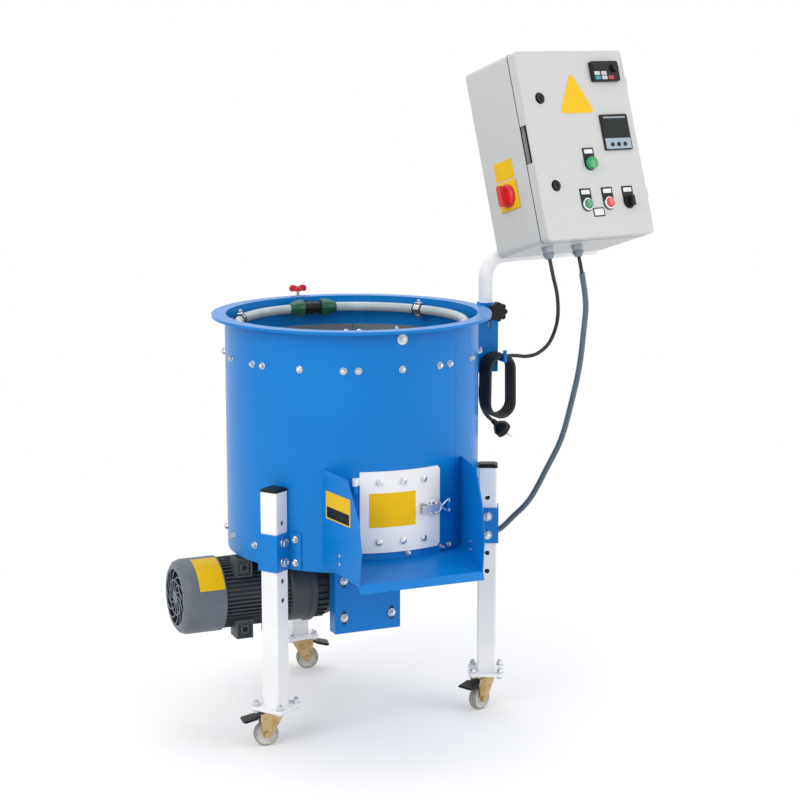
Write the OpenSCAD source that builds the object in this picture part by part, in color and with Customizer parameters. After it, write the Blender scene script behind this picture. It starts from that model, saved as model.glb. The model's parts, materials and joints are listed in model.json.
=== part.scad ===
// Walnut huller: a rubbing drum on castors, with a geared drive below and a control box on a pole.
// Z is up and the floor is z = 0. The discharge faces -Y and the motor points to -X.

/* [Drum] */
// Outside diameter of the drum
drum_d = 530; // [480:1:600]
// Height of the drum from its floor to its rim
drum_h = 491; // [450:1:560]
// Height of the drum's underside above the ground
drum_z = 366; // [350:1:390]
// Sheet thickness of the drum shell
drum_wall = 2.5; // [2:0.1:4]
// Width of the rim's flange
rim_w = 27; // [20:0.5:35]
// Depth of the rim's turned-down edge
rim_lip = 6; // [4:0.5:8]
// Thickness of the drum's floor plate
floor_t = 4; // [3:0.5:6]
// Thickness of the liner panels
liner_t = 1.5; // [1:0.1:2.5]
// Height of the liner panels above the drum's underside
liner_top = 428; // [415:1:436]
// Height of the upper row of bolts above the drum's underside
bolt_row_upper = 410; // [395:1:414]
// Height of the lower row of bolts above the drum's underside
bolt_row_lower = 36; // [34:0.5:40]
// Diameter of the liner bolts
liner_bolt_d = 6; // [5:0.5:8]

/* [Rotor] */
// Gap between the rotor's edge and the drum's outside
rotor_inset = 12; // [10:0.5:30]
// Thickness of the rotor disc
rotor_t = 5; // [4:0.5:6]
// Height of the rotor disc above the drum's floor plate
rotor_gap = 12; // [10:0.5:14]
// Height of the rotor's ribs
rotor_rib_h = 10; // [6:0.5:12]
// Diameter of the vertical drive shaft
drive_d = 28; // [24:0.5:32]

/* [Discharge] */
// Half of the angle that the door covers on the drum
door_half = 19; // [17:0.5:20]
// Height of the door
door_h = 166; // [150:1:176]
// Height of the door's lower edge above the drum's underside
door_low = 41; // [40:0.5:46]
// Overlap of the door round its opening
door_lap = 11; // [10:0.5:14]
// Sheet thickness of the door
door_t = 3; // [2:0.1:4]
// Opening between the two walls of the chute
chute_w = 300; // [290:1:310]
// Sheet thickness of the chute
chute_t = 2.5; // [2:0.1:4]
// Reach of the chute's lip from the drum's axis
chute_reach = 372; // [355:1:400]
// Height of the chute's walls above the drum's underside
chute_top = 217; // [205:1:230]
// Fall of the chute's floor from the drum to the lip
chute_fall = 18; // [10:1:26]
// Angle by which the chute's walls lean in towards the lip
chute_taper = 7.4; // [0:0.2:9]

/* [Water] */
// Outside diameter of the spray hose
hose_d = 20; // [18:0.5:22]
// Bore of the spray hose
hose_bore = 14; // [10:0.5:16]
// Height of the spray ring below the rim
ring_drop = 21; // [20:0.5:24]
// Diameter of the coupling's nuts
nut_d = 36; // [32:0.5:38]
// Outside diameter of the inlet pipe
pipe_d = 20; // [18:0.5:22]
// Diameter of the threaded tail on the valve
tail_d = 21; // [18:0.5:22]

/* [Stand] */
// Width of the square leg tube
leg_w = 40; // [36:0.5:46]
// Wall of the leg tube
leg_wall = 2.5; // [2:0.1:4]
// Height of the top of the legs
leg_top = 530; // [510:1:560]
// Turn of the leg set against the discharge
leg_turn = 4.5; // [0:0.5:8]
// Spacing of the holes along the legs
leg_pitch = 40; // [36:1:40]
// Height of the leg brackets
bracket_h = 76; // [70:1:80]
// Sheet thickness of the brackets
bracket_t = 3; // [2:0.1:4]
// Diameter of the bolts through the legs
leg_bolt_d = 10; // [8:0.5:12]
// Width of the plates under the legs
plate_w = 78; // [74:1:90]
// Thickness of the plates under the legs
plate_t = 4; // [3:0.5:6]

/* [Castors] */
// Diameter of the wheels
wheel_d = 50; // [46:0.5:54]
// Width of the wheels
wheel_w = 20; // [16:0.5:24]
// Overall height of a castor
castor_h = 80; // [78:0.5:90]
// Distance of the axle behind the swivel axis
trail = 22; // [18:0.5:26]
// Diameter of the axle bolts
axle_d = 8; // [6:0.5:10]
// Rest direction of the left castor
castor_turn_left = 263; // [0:1:360]
// Rest direction of the right castor
castor_turn_right = 293; // [0:1:360]
// Rest direction of the rear castor
castor_turn_rear = 75; // [0:1:360]

/* [Drive] */
// Height of the motor's axis
motor_z = 273; // [268:1:276]
// Distance of the motor's axis behind the drum's axis
motor_y = 40; // [36:1:44]
// Diameter of the motor over its fins
motor_d = 150; // [140:1:156]
// Length of the finned motor frame
motor_len = 170; // [150:1:190]
// Outside diameter of the fan cowl
cowl_d = 158; // [152:1:164]
// Length of the fan cowl
cowl_len = 130; // [120:1:140]
// Sheet thickness of the fan cowl
cowl_t = 1.5; // [1:0.1:2.5]
// Number of fins on the motor
fin_count = 36; // [24:4:48]
// Diameter of the motor shaft
motor_shaft_d = 24; // [19:0.5:26]
// Width of the gearbox along the motor
gearbox_w = 128; // [120:1:134]
// Height of the gearbox
gearbox_h = 102; // [96:1:108]
// Width of the gearbox bracket
channel_w = 148; // [142:1:160]
// Depth of the gearbox bracket's side flanges
channel_flange = 28; // [20:1:36]
// Distance of the gearbox bracket's face in front of the drum's axis
channel_y = 80; // [78:1:90]
// Lower end of the gearbox bracket above the ground
channel_low = 189; // [180:1:200]

/* [Pole] */
// Outside diameter of the pole
pole_d = 30; // [26:0.5:32]
// Wall of the pole
pole_wall = 2; // [1.5:0.1:3]
// Height of the pole's arm
arm_z = 958; // [940:1:980]
// Bend radius of the pole, on its axis
bend_r = 46; // [40:1:60]
// Length of the arm from the pole's axis
arm_len = 310; // [290:1:320]
// Direction of the arm
arm_turn = 13; // [0:1:16]
// Diameter of the clamp knob
knob_d = 42; // [36:1:48]

/* [Control box] */
// Width of the box
box_w = 300; // [290:1:320]
// Height of the box
box_h = 405; // [395:1:430]
// Depth of the box with its door
box_d = 172; // [160:1:190]
// Depth of the box's door
lid_d = 24; // [20:0.5:28]
// Sheet thickness of the box
box_t = 1.5; // [1.2:0.1:2.5]
// Backward lean of the box
box_lean = 17.4; // [10:0.1:20]
// Distance of the box's middle along the arm
box_along = 168; // [165:1:175]
// Diameter of the push buttons
button_d = 22; // [20:0.5:24]
// Travel of the push buttons
button_travel = 3; // [2:0.5:4]
// Diameter of the cable glands
gland_d = 22; // [20:0.5:24]

/* [Leads] */
// Diameter of the mains lead
lead_d = 8; // [7:0.5:8]
// Diameter of the motor conduit
conduit_d = 13; // [12:0.5:14]
// Number of loops in the mains hank
hank_loops = 5; // [3:1:5]

/* [Clearances] */
// Gap between curved pieces that lie on each other
seat_gap = 0.3; // [0.2:0.05:0.5]
// Radial clearance of a running fit
run_gap = 0.08; // [0.05:0.01:0.1]
// Radial clearance of a bolt in its hole
bolt_gap = 0.2; // [0.1:0.05:0.4]
// Gap between parts that pass each other
pass_gap = 1; // [0.6:0.1:1.5]

/* [Hidden] */
$fn = 48;

// Colours
blue = [0.10, 0.36, 0.78];
white = [0.90, 0.91, 0.90];
steel = [0.66, 0.68, 0.70];
zinc = [0.78, 0.70, 0.42];
black = [0.08, 0.08, 0.09];
motor_grey = [0.24, 0.30, 0.38];
box_grey = [0.80, 0.81, 0.80];

// Drum
drum_r = drum_d / 2;
drum_in = drum_r - drum_wall;
rim_z = drum_z + drum_h;
rim_r = drum_r + rim_w;
rotor_d = drum_d - 2 * rotor_inset;
liner_count = 8;
liner_step = 360 / liner_count;
liner_r = drum_in - seat_gap;
liner_low = 30;
liner_bolt_turns = [-19.3, 0, 19.3];
liner_nut_d = liner_bolt_d * 2;
liner_nut_h = liner_bolt_d * 0.8;
floor_top = drum_z + floor_t;

// Rotor
rotor_z = floor_top + rotor_gap;
rotor_hub_d = drive_d + 40;
rotor_rib_count = 6;
rotor_rib_w = 8;

// Discharge
door_z = drum_z + door_low;
door_r = drum_r + seat_gap;
opening_half = door_half - asin(door_lap / drum_r);
opening_low = door_z + door_lap;
opening_high = door_z + door_h - door_lap;
door_corner = 9;
hinge_d = 11;
hinge_pin_d = 6;
hinge_r = door_r + hinge_d / 2 + 1;
hinge_turn = -door_half - 2;
hinge_len = 30;
hinge_z = [door_z + 12, door_z + door_h - 12 - hinge_len];
chute_z = drum_z + bolt_row_lower - 10;
chute_lip_z = chute_z - chute_fall;
chute_high = drum_z + chute_top;
chute_lip = 16;
chute_back = sqrt(pow(drum_r, 2) - pow(chute_w / 2, 2));

// Toggle latch: x runs towards the keeper and the heights are above the door's face
latch_turn = door_half - 5;
latch_z = door_z + door_h / 2;
latch_r = door_r + door_t;
latch_pin_d = 4;
ear_z = 9;
ear_t = 2;
lever_pivot = [8, 8];
lever_in = 6;
lever_t = 1.5;
bail_d = 3;
bail_pivot = [-4, 6.5];
bail_end = [40, 9];
bail_z = ear_z + ear_t + bail_d / 2 + 0.5;
bail_bar = turned([bail_end[0], -latch_r - bail_end[1]], latch_turn);
keeper_t = 2.5;
keeper_gap = 0.6;
keeper_x = bail_bar[0] - bail_d / 2 - keeper_gap;
keeper_out = 5;
keeper_foot_turn = asin((keeper_x - 7) / drum_r);

// Spray ring and valve
ring_r = drum_in - 26;
ring_z = rim_z - ring_drop;
coupling_half = 46;
coupling_d = 26;
nut_w = 26;
clamp_turns = [0, 120, 240];
clamp_w = 16;
clamp_t = 1.5;
ring_end = asin((coupling_half + 6) / ring_r);
valve_d = 30;
valve_y = rim_r + 30;
valve_len = 46;
tail_len = 20;
stem_d = 9;
handle_len = 44;
handle_z = rim_z + 5;

// Stand
leg_r = drum_r + leg_w / 2 + pass_gap;
leg_turns = [-60 + leg_turn, 60 + leg_turn, 180 + leg_turn];
leg_foot = castor_h + plate_t;
bracket_z = drum_z + 2;
bracket_mid = bracket_z + bracket_h / 2;
bracket_in = leg_w / 2 + seat_gap;
bracket_wing = 26;
leg_bolt_z = [bracket_mid - leg_pitch / 2, bracket_mid + leg_pitch / 2];
leg_hole_z = [for (i = [-4 : 2]) bracket_mid + (i + 0.5) * leg_pitch];
leg_round = 4;
plate_bolt = plate_w / 2 - 10;
plate_bolt_d = 8;

// Castors
castor_turns = [castor_turn_left, castor_turn_right, castor_turn_rear];
wheel_r = wheel_d / 2;
castor_plate_t = 3;
castor_plate_z = castor_h - castor_plate_t;
crown_d = 42;
crown_h = 7;
crown_z = castor_plate_z - pass_gap - crown_h;
king_d = 12;
cheek_t = 2.5;
cheek_x = wheel_w / 2 + pass_gap;
pedal_y = trail + 7;
pedal_z = crown_z - 6;
pedal_pin_d = 5;
pedal_len = 40;

// Drive
gearbox_z = motor_z - gearbox_h / 2;
gearbox_back = motor_y + 46;
gearbox_x = gearbox_w / 2;
gearbox_foot = 6;
slot_x = channel_w / 2 - 20;
slot_z = [motor_z - 50, motor_z + 31];
slot_len = 22;
slot_bolt_d = 8;
shield_t = 16;
flange_t = 12;
flange_d = motor_d + 10;
motor_x = -gearbox_x - flange_t - shield_t;
motor_end = motor_x - motor_len;
fin_h = 8;
fin_t = 3;
cowl_lap = 8;
cowl_end = motor_end + cowl_lap - cowl_len;
cowl_seat_d = cowl_d - 2 * cowl_t - 2 * seat_gap;
fan_d = cowl_d - 2 * cowl_t - 14;
fan_w = 36;
fan_x = cowl_end + 26;
pad_w = 36;
pad_h = 40;
terminal_w = 84;
bearing_d = 96;
bearing_boss_d = drive_d + 32;
bearing_low = gearbox_z + gearbox_h + 2;

// Pole and control box
pole_x = rim_r + pole_d / 2 + 2;
pole_r = pole_d / 2;
pole_low = rim_z - 140;
socket_z = rim_z - 28;
socket_h = 32;
socket_t = 3;
socket_r = pole_r + run_gap;
pole_bracket_z = rim_z - 145;
pole_bracket_h = 112;
knob_z = rim_z - 12;
knob_screw_d = 8;
pole_tip = sqrt(pow(pole_r, 2) - pow(8 - knob_screw_d / 2, 2)) + 0.6;
back_t = 4;
arm_seat = 10;
hook_x = pole_x + 8;
hook_z = rim_z - 112;
hook_d = 8;
hook_len = 60;
box_back = pole_r + back_t;
lid_gap = 0.6;
body_d = box_d - lid_d;
lock_x = 47 - box_w / 2;
lock_zs = [box_h - 289, box_h - 102];
lock_d = 20;
lid_hinge_d = 10;
lid_hinge_zs = [60, box_h - 60 - 40];
keypad_size = [77, 44];
display_size = [77, 78];
keypad_at = [238 - box_w / 2, 357];
display_at = [240 - box_w / 2, 224];
lamp_at = [152 - box_w / 2, 159];
start_at = [123 - box_w / 2, 72];
stop_at = [184 - box_w / 2, 72];
selector_at = [242 - box_w / 2, 72];
collar_d = button_d + 7;
collar_h = 5;
button_rise = 4;
gland_xs = [55 - box_w / 2, 137 - box_w / 2];
gland_y = -100;
switch_y = -74;
switch_z = 120;
switch_plate = 62;

// The reference point lies under the middle of the whole machine.
box_reach = pole_x + cos(arm_turn) * (box_along + box_w / 2 + lid_hinge_d) + sin(arm_turn)
    * (box_d * cos(box_lean));
middle_x = (box_reach + cowl_end) / 2;
middle_y = (valve_y + valve_len / 2 + tail_len - chute_reach) / 2;

// A point of the plane, turned about the origin.
function turned(p, a) = [p[0] * cos(a) - p[1] * sin(a), p[0] * sin(a) + p[1] * cos(a)];
// The smallest angle between two directions.
function apart(a, b) = abs((a - b + 540) % 360 - 180);

// Puts a piece that is drawn about the drum's axis in the machine's own frame.
module machine() {
    translate([-middle_x, -middle_y, 0]) children();
}

// Turns a piece that is drawn at the front, at -Y, to another side of the drum.
module at_turn(a) {
    rotate([0, 0, a]) children();
}

// A curved band about the drum's axis, centred on -Y.
module band(r0, r1, z0, z1, half) {
    rotate([0, 0, -90 - half])
        rotate_extrude(angle = 2 * half, $fn = 180)
            translate([r0, z0]) square([r1 - r0, z1 - z0]);
}

// A rod that points away from the drum's axis, along -Y.
module out_rod(d, from, len, z, sides = 32) {
    translate([0, -from, z]) rotate([90, 0, 0]) cylinder(d = d, h = len, $fn = sides);
}

// A rod along X.
module x_rod(d, from, len, y, z, sides = 32) {
    translate([from, y, z]) rotate([0, 90, 0]) cylinder(d = d, h = len, $fn = sides);
}

// A box given by its lowest corner and its highest corner.
module block(low, high) {
    translate(low) cube([high[0] - low[0], high[1] - low[1], high[2] - low[2]]);
}

// A flat rectangle with round corners, centred.
module rounded(w, h, r) {
    square([w - 2 * r, h], center = true);
    square([w, h - 2 * r], center = true);
    for (x = [-1, 1], y = [-1, 1])
        translate([x * (w / 2 - r), y * (h / 2 - r)]) circle(r = r, $fn = 24);
}

// Every place of a liner bolt: panel, turn on the drum and height.
bolt_clear = 12;
liner_bolts_at = [
    for (i = [0 : liner_count - 1], t = liner_bolt_turns, row = [0, 1])
        let (a = i * liner_step + t, legs_near = [for (l = leg_turns) if (apart(a, l) < bolt_clear) l])
            if (row == 1 || (i != 0 && len(legs_near) == 0))
                [i, a, drum_z + (row == 1 ? bolt_row_upper : bolt_row_lower)]
];

module drum_shell() {
    color(blue) machine() difference() {
        rotate_extrude($fn = 180) {
            translate([drum_in, drum_z]) square([drum_wall, drum_h]);
            translate([drum_in, rim_z - drum_wall]) square([drum_wall + rim_w, drum_wall]);
            translate([rim_r - drum_wall, rim_z - rim_lip]) square([drum_wall, rim_lip]);
        }
        band(drum_in - 5, drum_r + 5, opening_low, opening_high, opening_half);
        for (b = liner_bolts_at)
            at_turn(b[1]) out_rod(liner_bolt_d + 2 * bolt_gap, drum_in - 5, drum_wall + 10, b[2]);
        for (a = clamp_turns)
            at_turn(a) out_rod(liner_bolt_d + 2 * bolt_gap, drum_in - 5, drum_wall + 10, ring_z);
        at_turn(180) out_rod(pipe_d + 2 * bolt_gap, drum_in - 5, drum_wall + 10, ring_z);
    }
}

module drum_floor() {
    color(blue) machine() translate([0, 0, drum_z]) difference() {
        cylinder(r = drum_in - seat_gap, h = floor_t, $fn = 180);
        translate([0, 0, -1]) cylinder(d = bearing_boss_d + 2 * seat_gap, h = floor_t + 2);
    }
}

module liner_panels() {
    color(steel) machine() for (i = [0 : liner_count - 1]) difference() {
        at_turn(i * liner_step)
            band(liner_r - liner_t, liner_r, drum_z + liner_low, drum_z + liner_top, liner_step / 2 - 0.25);
        if (i == 0)
            band(liner_r - 5, liner_r + 5, opening_low, opening_high, opening_half);
        for (b = liner_bolts_at)
            if (b[0] == i)
                at_turn(b[1]) out_rod(liner_bolt_d + 2 * bolt_gap, liner_r - 10, 20, b[2]);
    }
}

module liner_bolts() {
    head_h = 2.5;
    washer_t = 1;
    inside = liner_r - liner_t - seat_gap - head_h;
    color(steel) machine() for (b = liner_bolts_at) at_turn(b[1]) {
        out_rod(liner_nut_d, inside, head_h, b[2]);
        out_rod(liner_bolt_d, inside, drum_r - inside + washer_t + liner_nut_h + 1.5, b[2]);
        out_rod(liner_nut_d + 3, drum_r, washer_t, b[2]);
        out_rod(liner_nut_d, drum_r, washer_t + liner_nut_h, b[2], 6);
    }
}

module spray_ring() {
    color([0.62, 0.66, 0.70]) machine()
        translate([0, 0, ring_z]) rotate([0, 0, 90 + ring_end])
            rotate_extrude(angle = 360 - 2 * ring_end, $fn = 120)
                translate([ring_r, 0]) difference() {
                    circle(d = hose_d, $fn = 32);
                    circle(d = hose_bore, $fn = 32);
                }
}

// The tee that joins both ends of the ring to the inlet, with a nut on each side.
module hose_coupling() {
    nut_x = coupling_half - nut_w;
    color(black) machine() difference() {
        union() {
            x_rod(coupling_d, -nut_x, 2 * nut_x, ring_r, ring_z);
            translate([0, ring_r, ring_z]) rotate([-90, 0, 0])
                cylinder(d = pipe_d, h = valve_y - valve_len / 2 - ring_r);
            translate([0, ring_r, ring_z]) rotate([-90, 0, 0])
                cylinder(d = pipe_d + 8, h = drum_in - 3 - ring_r);
        }
        x_rod(hose_bore, -coupling_half, 2 * coupling_half, ring_r, ring_z);
        translate([0, ring_r, ring_z]) rotate([-90, 0, 0]) cylinder(d = hose_bore, h = 200);
    }
    color([0.25, 0.60, 0.28]) machine() for (side = [-1, 1]) difference() {
        translate([side * (nut_x + nut_w / 2), ring_r, ring_z]) rotate([0, 90, 0]) {
            cylinder(d = nut_d, h = nut_w, center = true, $fn = 48);
            for (i = [0 : 11])
                rotate([0, 0, i * 30]) translate([nut_d / 2 - 0.5, 0, 0])
                    cube([2.5, 4, nut_w - 6], center = true);
        }
        x_rod(hose_bore, -2 * coupling_half, 4 * coupling_half, ring_r, ring_z);
        hose_space();
    }
}

// Room for the hose where it bends into a nut.
module hose_space() {
    translate([0, 0, ring_z]) rotate([0, 0, 90 + ring_end])
        rotate_extrude(angle = 360 - 2 * ring_end, $fn = 120)
            translate([ring_r, 0]) circle(d = hose_d + 2 * seat_gap, $fn = 32);
}

module hose_clamps() {
    band_in = hose_d / 2 + seat_gap;
    band_out = band_in + clamp_t;
    color(steel) machine() for (a = clamp_turns) at_turn(a) translate([0, 0, ring_z]) {
        difference() {
            union() {
                translate([-clamp_w / 2, -ring_r, 0]) rotate([0, 90, 0]) cylinder(r = band_out, h = clamp_w);
                block([-clamp_w / 2, seat_gap + 0.2 - drum_in, -2 * clamp_t],
                    [clamp_w / 2, -ring_r, 2 * clamp_t]);
            }
            translate([-clamp_w, -ring_r, 0]) rotate([0, 90, 0]) cylinder(r = band_in, h = 2 * clamp_w);
            at_turn(0) rotate_extrude($fn = 120) translate([ring_r, 0]) circle(r = band_in, $fn = 32);
        }
        out_rod(liner_bolt_d, drum_in - 2, drum_wall + 8, 0);
        out_rod(liner_nut_d + 8, drum_r, 1.5, 0);
        out_rod(liner_nut_d, drum_r, 1.5 + liner_nut_h, 0, 6);
    }
}

module valve_body() {
    front = valve_y - valve_len / 2;
    color([0.75, 0.68, 0.45]) machine() translate([0, 0, ring_z]) difference() {
        union() {
            translate([0, front, 0]) rotate([-90, 0, 0]) cylinder(d = valve_d, h = 12, $fn = 6);
            translate([0, front, 0]) rotate([-90, 0, 0]) cylinder(d = valve_d - 5, h = valve_len);
            translate([0, front + valve_len - 12, 0]) rotate([-90, 0, 0])
                cylinder(d = valve_d, h = 12, $fn = 6);
            translate([0, front + valve_len, 0]) rotate([-90, 0, 0]) cylinder(d = tail_d, h = tail_len);
            translate([0, valve_y, 0]) cylinder(d = stem_d + 6, h = valve_d / 2 + 2);
            translate([0, valve_y, 0]) cylinder(d = stem_d, h = handle_z + 8 - ring_z);
        }
        translate([0, front - 1, 0]) rotate([-90, 0, 0]) cylinder(d = hose_bore, h = valve_len + 60);
    }
}

module valve_handle() {
    color([0.85, 0.10, 0.08]) machine() translate([0, valve_y, handle_z]) difference() {
        union() {
            cylinder(d = stem_d + 9, h = 12);
            for (side = [-1, 1])
                translate([side * handle_len / 4, 0, 8])
                    cube([handle_len / 2, 9, 12], center = true);
        }
        translate([0, 0, -1]) cylinder(d = stem_d + 2 * run_gap, h = 9.3);
    }
}

// A plate that is drawn in Y and Z and extruded along X from x.
module side_plate(points, x, t) {
    translate([x, 0, 0]) rotate([90, 0, 90]) linear_extrude(t) polygon(points);
}

// A frame on a chute wall, turned in towards the lip about the line where the wall meets the drum.
module chute_side(side) {
    translate([side * chute_w / 2, -chute_back, 0]) rotate([0, 0, -side * chute_taper])
        translate([0, chute_back, 0]) children();
}

module discharge_chute() {
    lip_y = chute_reach - 10;
    wall = [
        [-drum_r / 2, chute_high], [-chute_reach + 57, chute_high - 8], [-chute_reach + 11, chute_high - 83],
        [-chute_reach, chute_high - 143], [-lip_y, chute_lip_z - chute_t], [-drum_r / 2, chute_z - chute_t]
    ];
    plate = [
        [-drum_r / 2, chute_z], [-drum_r, chute_z], [-lip_y, chute_lip_z],
            [-lip_y - 8, chute_lip_z - chute_lip],
        [-lip_y - 8 + chute_t, chute_lip_z - chute_lip], [-lip_y + chute_t, chute_lip_z - chute_t],
        [-drum_r, chute_z - chute_t], [-drum_r / 2, chute_z - chute_t]
    ];
    color(blue) machine() difference() {
        union() {
            for (side = [-1, 1])
                chute_side(side) side_plate(wall, min(0, side * chute_t), chute_t);
            side_plate(plate, -chute_w / 2, chute_w);
        }
        cylinder(r = drum_r + seat_gap, h = 2 * rim_z, $fn = 180);
        for (side = [-1, 1])
            chute_side(side) block([min(side * chute_t, side * chute_w), -2 * chute_reach, 0],
                [max(side * chute_t, side * chute_w), 0, rim_z]);
    }
}

// The fixed halves of two lift-off hinges: a leaf, a knuckle and the pin that stands in it.
module door_hinges() {
    color(blue) machine() at_turn(hinge_turn) for (z = hinge_z) {
        difference() {
            union() {
                translate([0, -hinge_r, z]) cylinder(d = hinge_d, h = hinge_len / 2);
                at_turn(-3) band(drum_r + seat_gap, drum_r + seat_gap + 2.5, z, z + hinge_len / 2, 3);
            }
            translate([0, -hinge_r, z - 1]) cylinder(d = hinge_pin_d, h = hinge_len);
        }
        translate([0, -hinge_r, z]) cylinder(d = hinge_pin_d, h = hinge_len - 2);
    }
}

module latch_keeper() {
    foot_low = keeper_x - 14;
    top_y = bail_bar[1] - keeper_out;
    color(blue) machine() difference() {
        union() {
            block([keeper_x - keeper_t, top_y, latch_z - 8], [keeper_x, -drum_r / 2, latch_z + 8]);
            intersection() {
                at_turn(keeper_foot_turn) band(drum_r, drum_r + 2.5 + seat_gap, latch_z - 8, latch_z + 8,
                    2.2);
                block([foot_low, -drum_d, 0], [keeper_x + 20, 0, rim_z]);
            }
        }
        cylinder(r = drum_r + seat_gap, h = 2 * rim_z, $fn = 180);
    }
}

door_bolt_turns = [-door_half * 0.56, 0, door_half * 0.52];
door_bolt_zs = [door_z + 22, door_z + door_h - 22];

module door_holes() {
    for (a = door_bolt_turns, z = door_bolt_zs)
        at_turn(a) out_rod(liner_bolt_d + 2 * bolt_gap, drum_in - 20, 40, z);
}

// What a round corner takes off the door's free edge, above or below.
module door_corner_cut(up) {
    edge = sin(door_half) * (door_r + door_t);
    translate([edge, -drum_r, up > 0 ? door_z + door_h : door_z]) rotate([0, 45, 0])
        cube([door_corner, 80, door_corner], center = true);
}

module discharge_door() {
    color(white) machine() difference() {
        union() {
            band(door_r, door_r + door_t, door_z, door_z + door_h, door_half);
            at_turn(hinge_turn) for (z = hinge_z) {
                top = z + hinge_len / 2 + 0.4;
                translate([0, -hinge_r, top]) cylinder(d = hinge_d, h = hinge_len / 2);
                at_turn(3) band(door_r, door_r + 2.5, top, top + hinge_len / 2, 3);
            }
        }
        at_turn(hinge_turn) for (z = hinge_z)
            translate([0, -hinge_r, z + hinge_len / 4])
                cylinder(d = hinge_pin_d + 2 * run_gap, h = hinge_len * 0.75 - 1);
        for (up = [-1, 1]) door_corner_cut(up);
        door_holes();
    }
}

// The inner facing that fills the opening, and the six bolts that hold it on the door.
module door_facing() {
    inner = liner_r - liner_t;
    head_h = 5;
    color(steel) machine() difference() {
        band(inner, door_r - seat_gap, opening_low + pass_gap, opening_high - pass_gap, opening_half - 0.6);
        door_holes();
    }
    color(white) machine() for (a = door_bolt_turns, z = door_bolt_zs) at_turn(a) {
        out_rod(liner_bolt_d, inner + 1, door_r + door_t - inner, z);
        out_rod(liner_bolt_d * 2, door_r + door_t + 0.1, head_h, z);
    }
}

// Draws a latch piece in the latch's own frame: x towards the keeper, y away from the door.
module latch_frame() {
    machine() at_turn(latch_turn) translate([0, -latch_r, latch_z]) mirror([0, 1, 0]) children();
}

module latch_rod(d, at, z0, z1) {
    translate([at[0], at[1], z0]) cylinder(d = d, h = z1 - z0, $fn = 24);
}

module latch_base() {
    ear_out = ear_z + ear_t;
    color(steel) latch_frame() {
        difference() {
            union() {
                block([-28, 0.1, -ear_out], [14, 2.1, ear_out]);
                for (z = [-ear_out, ear_z]) {
                    block([lever_pivot[0] - 5, 1, z], [lever_pivot[0] + 5, lever_pivot[1], z + ear_t]);
                    latch_rod(10, lever_pivot, z, z + ear_t);
                }
            }
            latch_rod(latch_pin_d, lever_pivot, -20, 20);
        }
        latch_rod(latch_pin_d, lever_pivot, -ear_out, ear_out);
    }
}

module latch_lever() {
    lever_out = lever_in + lever_t;
    top = lever_pivot[1] + 4;
    color(steel) latch_frame() difference() {
        union() {
            block([-26, top - lever_t, -lever_out], [lever_pivot[0] + 4, top, lever_out]);
            block([-31, top - lever_t, -lever_out], [-25, top + 2, lever_out]);
            for (z = [-lever_out, lever_in])
                block([-14, 4, z], [lever_pivot[0] + 4, top, z + lever_t]);
        }
        latch_rod(latch_pin_d + 2 * run_gap, lever_pivot, -20, 20);
        latch_rod(bail_d + 2 * run_gap, bail_pivot, -20, 20);
    }
}

module latch_bail() {
    run = bail_end - bail_pivot;
    length = norm(run);
    turn = atan2(run[1], run[0]);
    color(steel) latch_frame() {
        for (side = [-1, 1]) {
            translate([bail_pivot[0], bail_pivot[1], side * bail_z]) rotate([0, 0, turn]) rotate([0, 90, 0])
                cylinder(d = bail_d, h = length, $fn = 24);
            translate([bail_pivot[0], bail_pivot[1], side * bail_z]) sphere(d = bail_d * 1.15, $fn = 24);
            translate([bail_end[0], bail_end[1], side * bail_z]) sphere(d = bail_d * 1.15, $fn = 24);
            latch_rod(bail_d, bail_pivot, min(side * bail_z, side * lever_in), max(side * bail_z,
                side * lever_in));
        }
        latch_rod(bail_d, bail_end, -bail_z, bail_z);
    }
}

// A square tube outline with round corners.
module tube_outline() {
    difference() {
        rounded(leg_w, leg_w, leg_round);
        rounded(leg_w - 2 * leg_wall, leg_w - 2 * leg_wall, leg_round - leg_wall * 0.9);
    }
}

// Draws a piece on each leg, with the leg's axis as its own.
module each_leg() {
    for (a = leg_turns) machine() at_turn(a) translate([0, -leg_r, 0]) children();
}

module legs() {
    color(white) each_leg() {
        difference() {
            translate([0, 0, leg_foot]) linear_extrude(leg_top - leg_foot) tube_outline();
            for (z = leg_hole_z)
                x_rod(leg_bolt_d + 2 * bolt_gap, -leg_w, 2 * leg_w, 0, z);
        }
        difference() {
            translate([0, 0, castor_h]) linear_extrude(plate_t) rounded(plate_w, plate_w, 10);
            for (x = [-1, 1], y = [-1, 1])
                translate([x * plate_bolt, y * plate_bolt, castor_h - 1])
                    cylinder(d = plate_bolt_d + 2 * bolt_gap, h = plate_t + 2);
        }
    }
}

module leg_caps() {
    plug = leg_w - 2 * leg_wall - 2 * seat_gap;
    color(black) each_leg() {
        translate([0, 0, leg_top]) linear_extrude(4) rounded(leg_w + 2, leg_w + 2, leg_round + 1);
        translate([0, 0, leg_top + 4]) linear_extrude(3, scale = 0.7) square(leg_w, center = true);
        translate([0, 0, leg_top - 14]) linear_extrude(15) difference() {
            rounded(plug, plug, leg_round / 2);
            rounded(plug - 4, plug - 4, leg_round / 4);
        }
    }
}

wing_half = asin((bracket_in + bracket_t + bracket_wing) / drum_r);
wing_bolt_turn = asin((bracket_in + bracket_t + bracket_wing / 2) / drum_r);
wing_bolt_z = [bracket_z + 14, bracket_z + bracket_h - 14];

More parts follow.
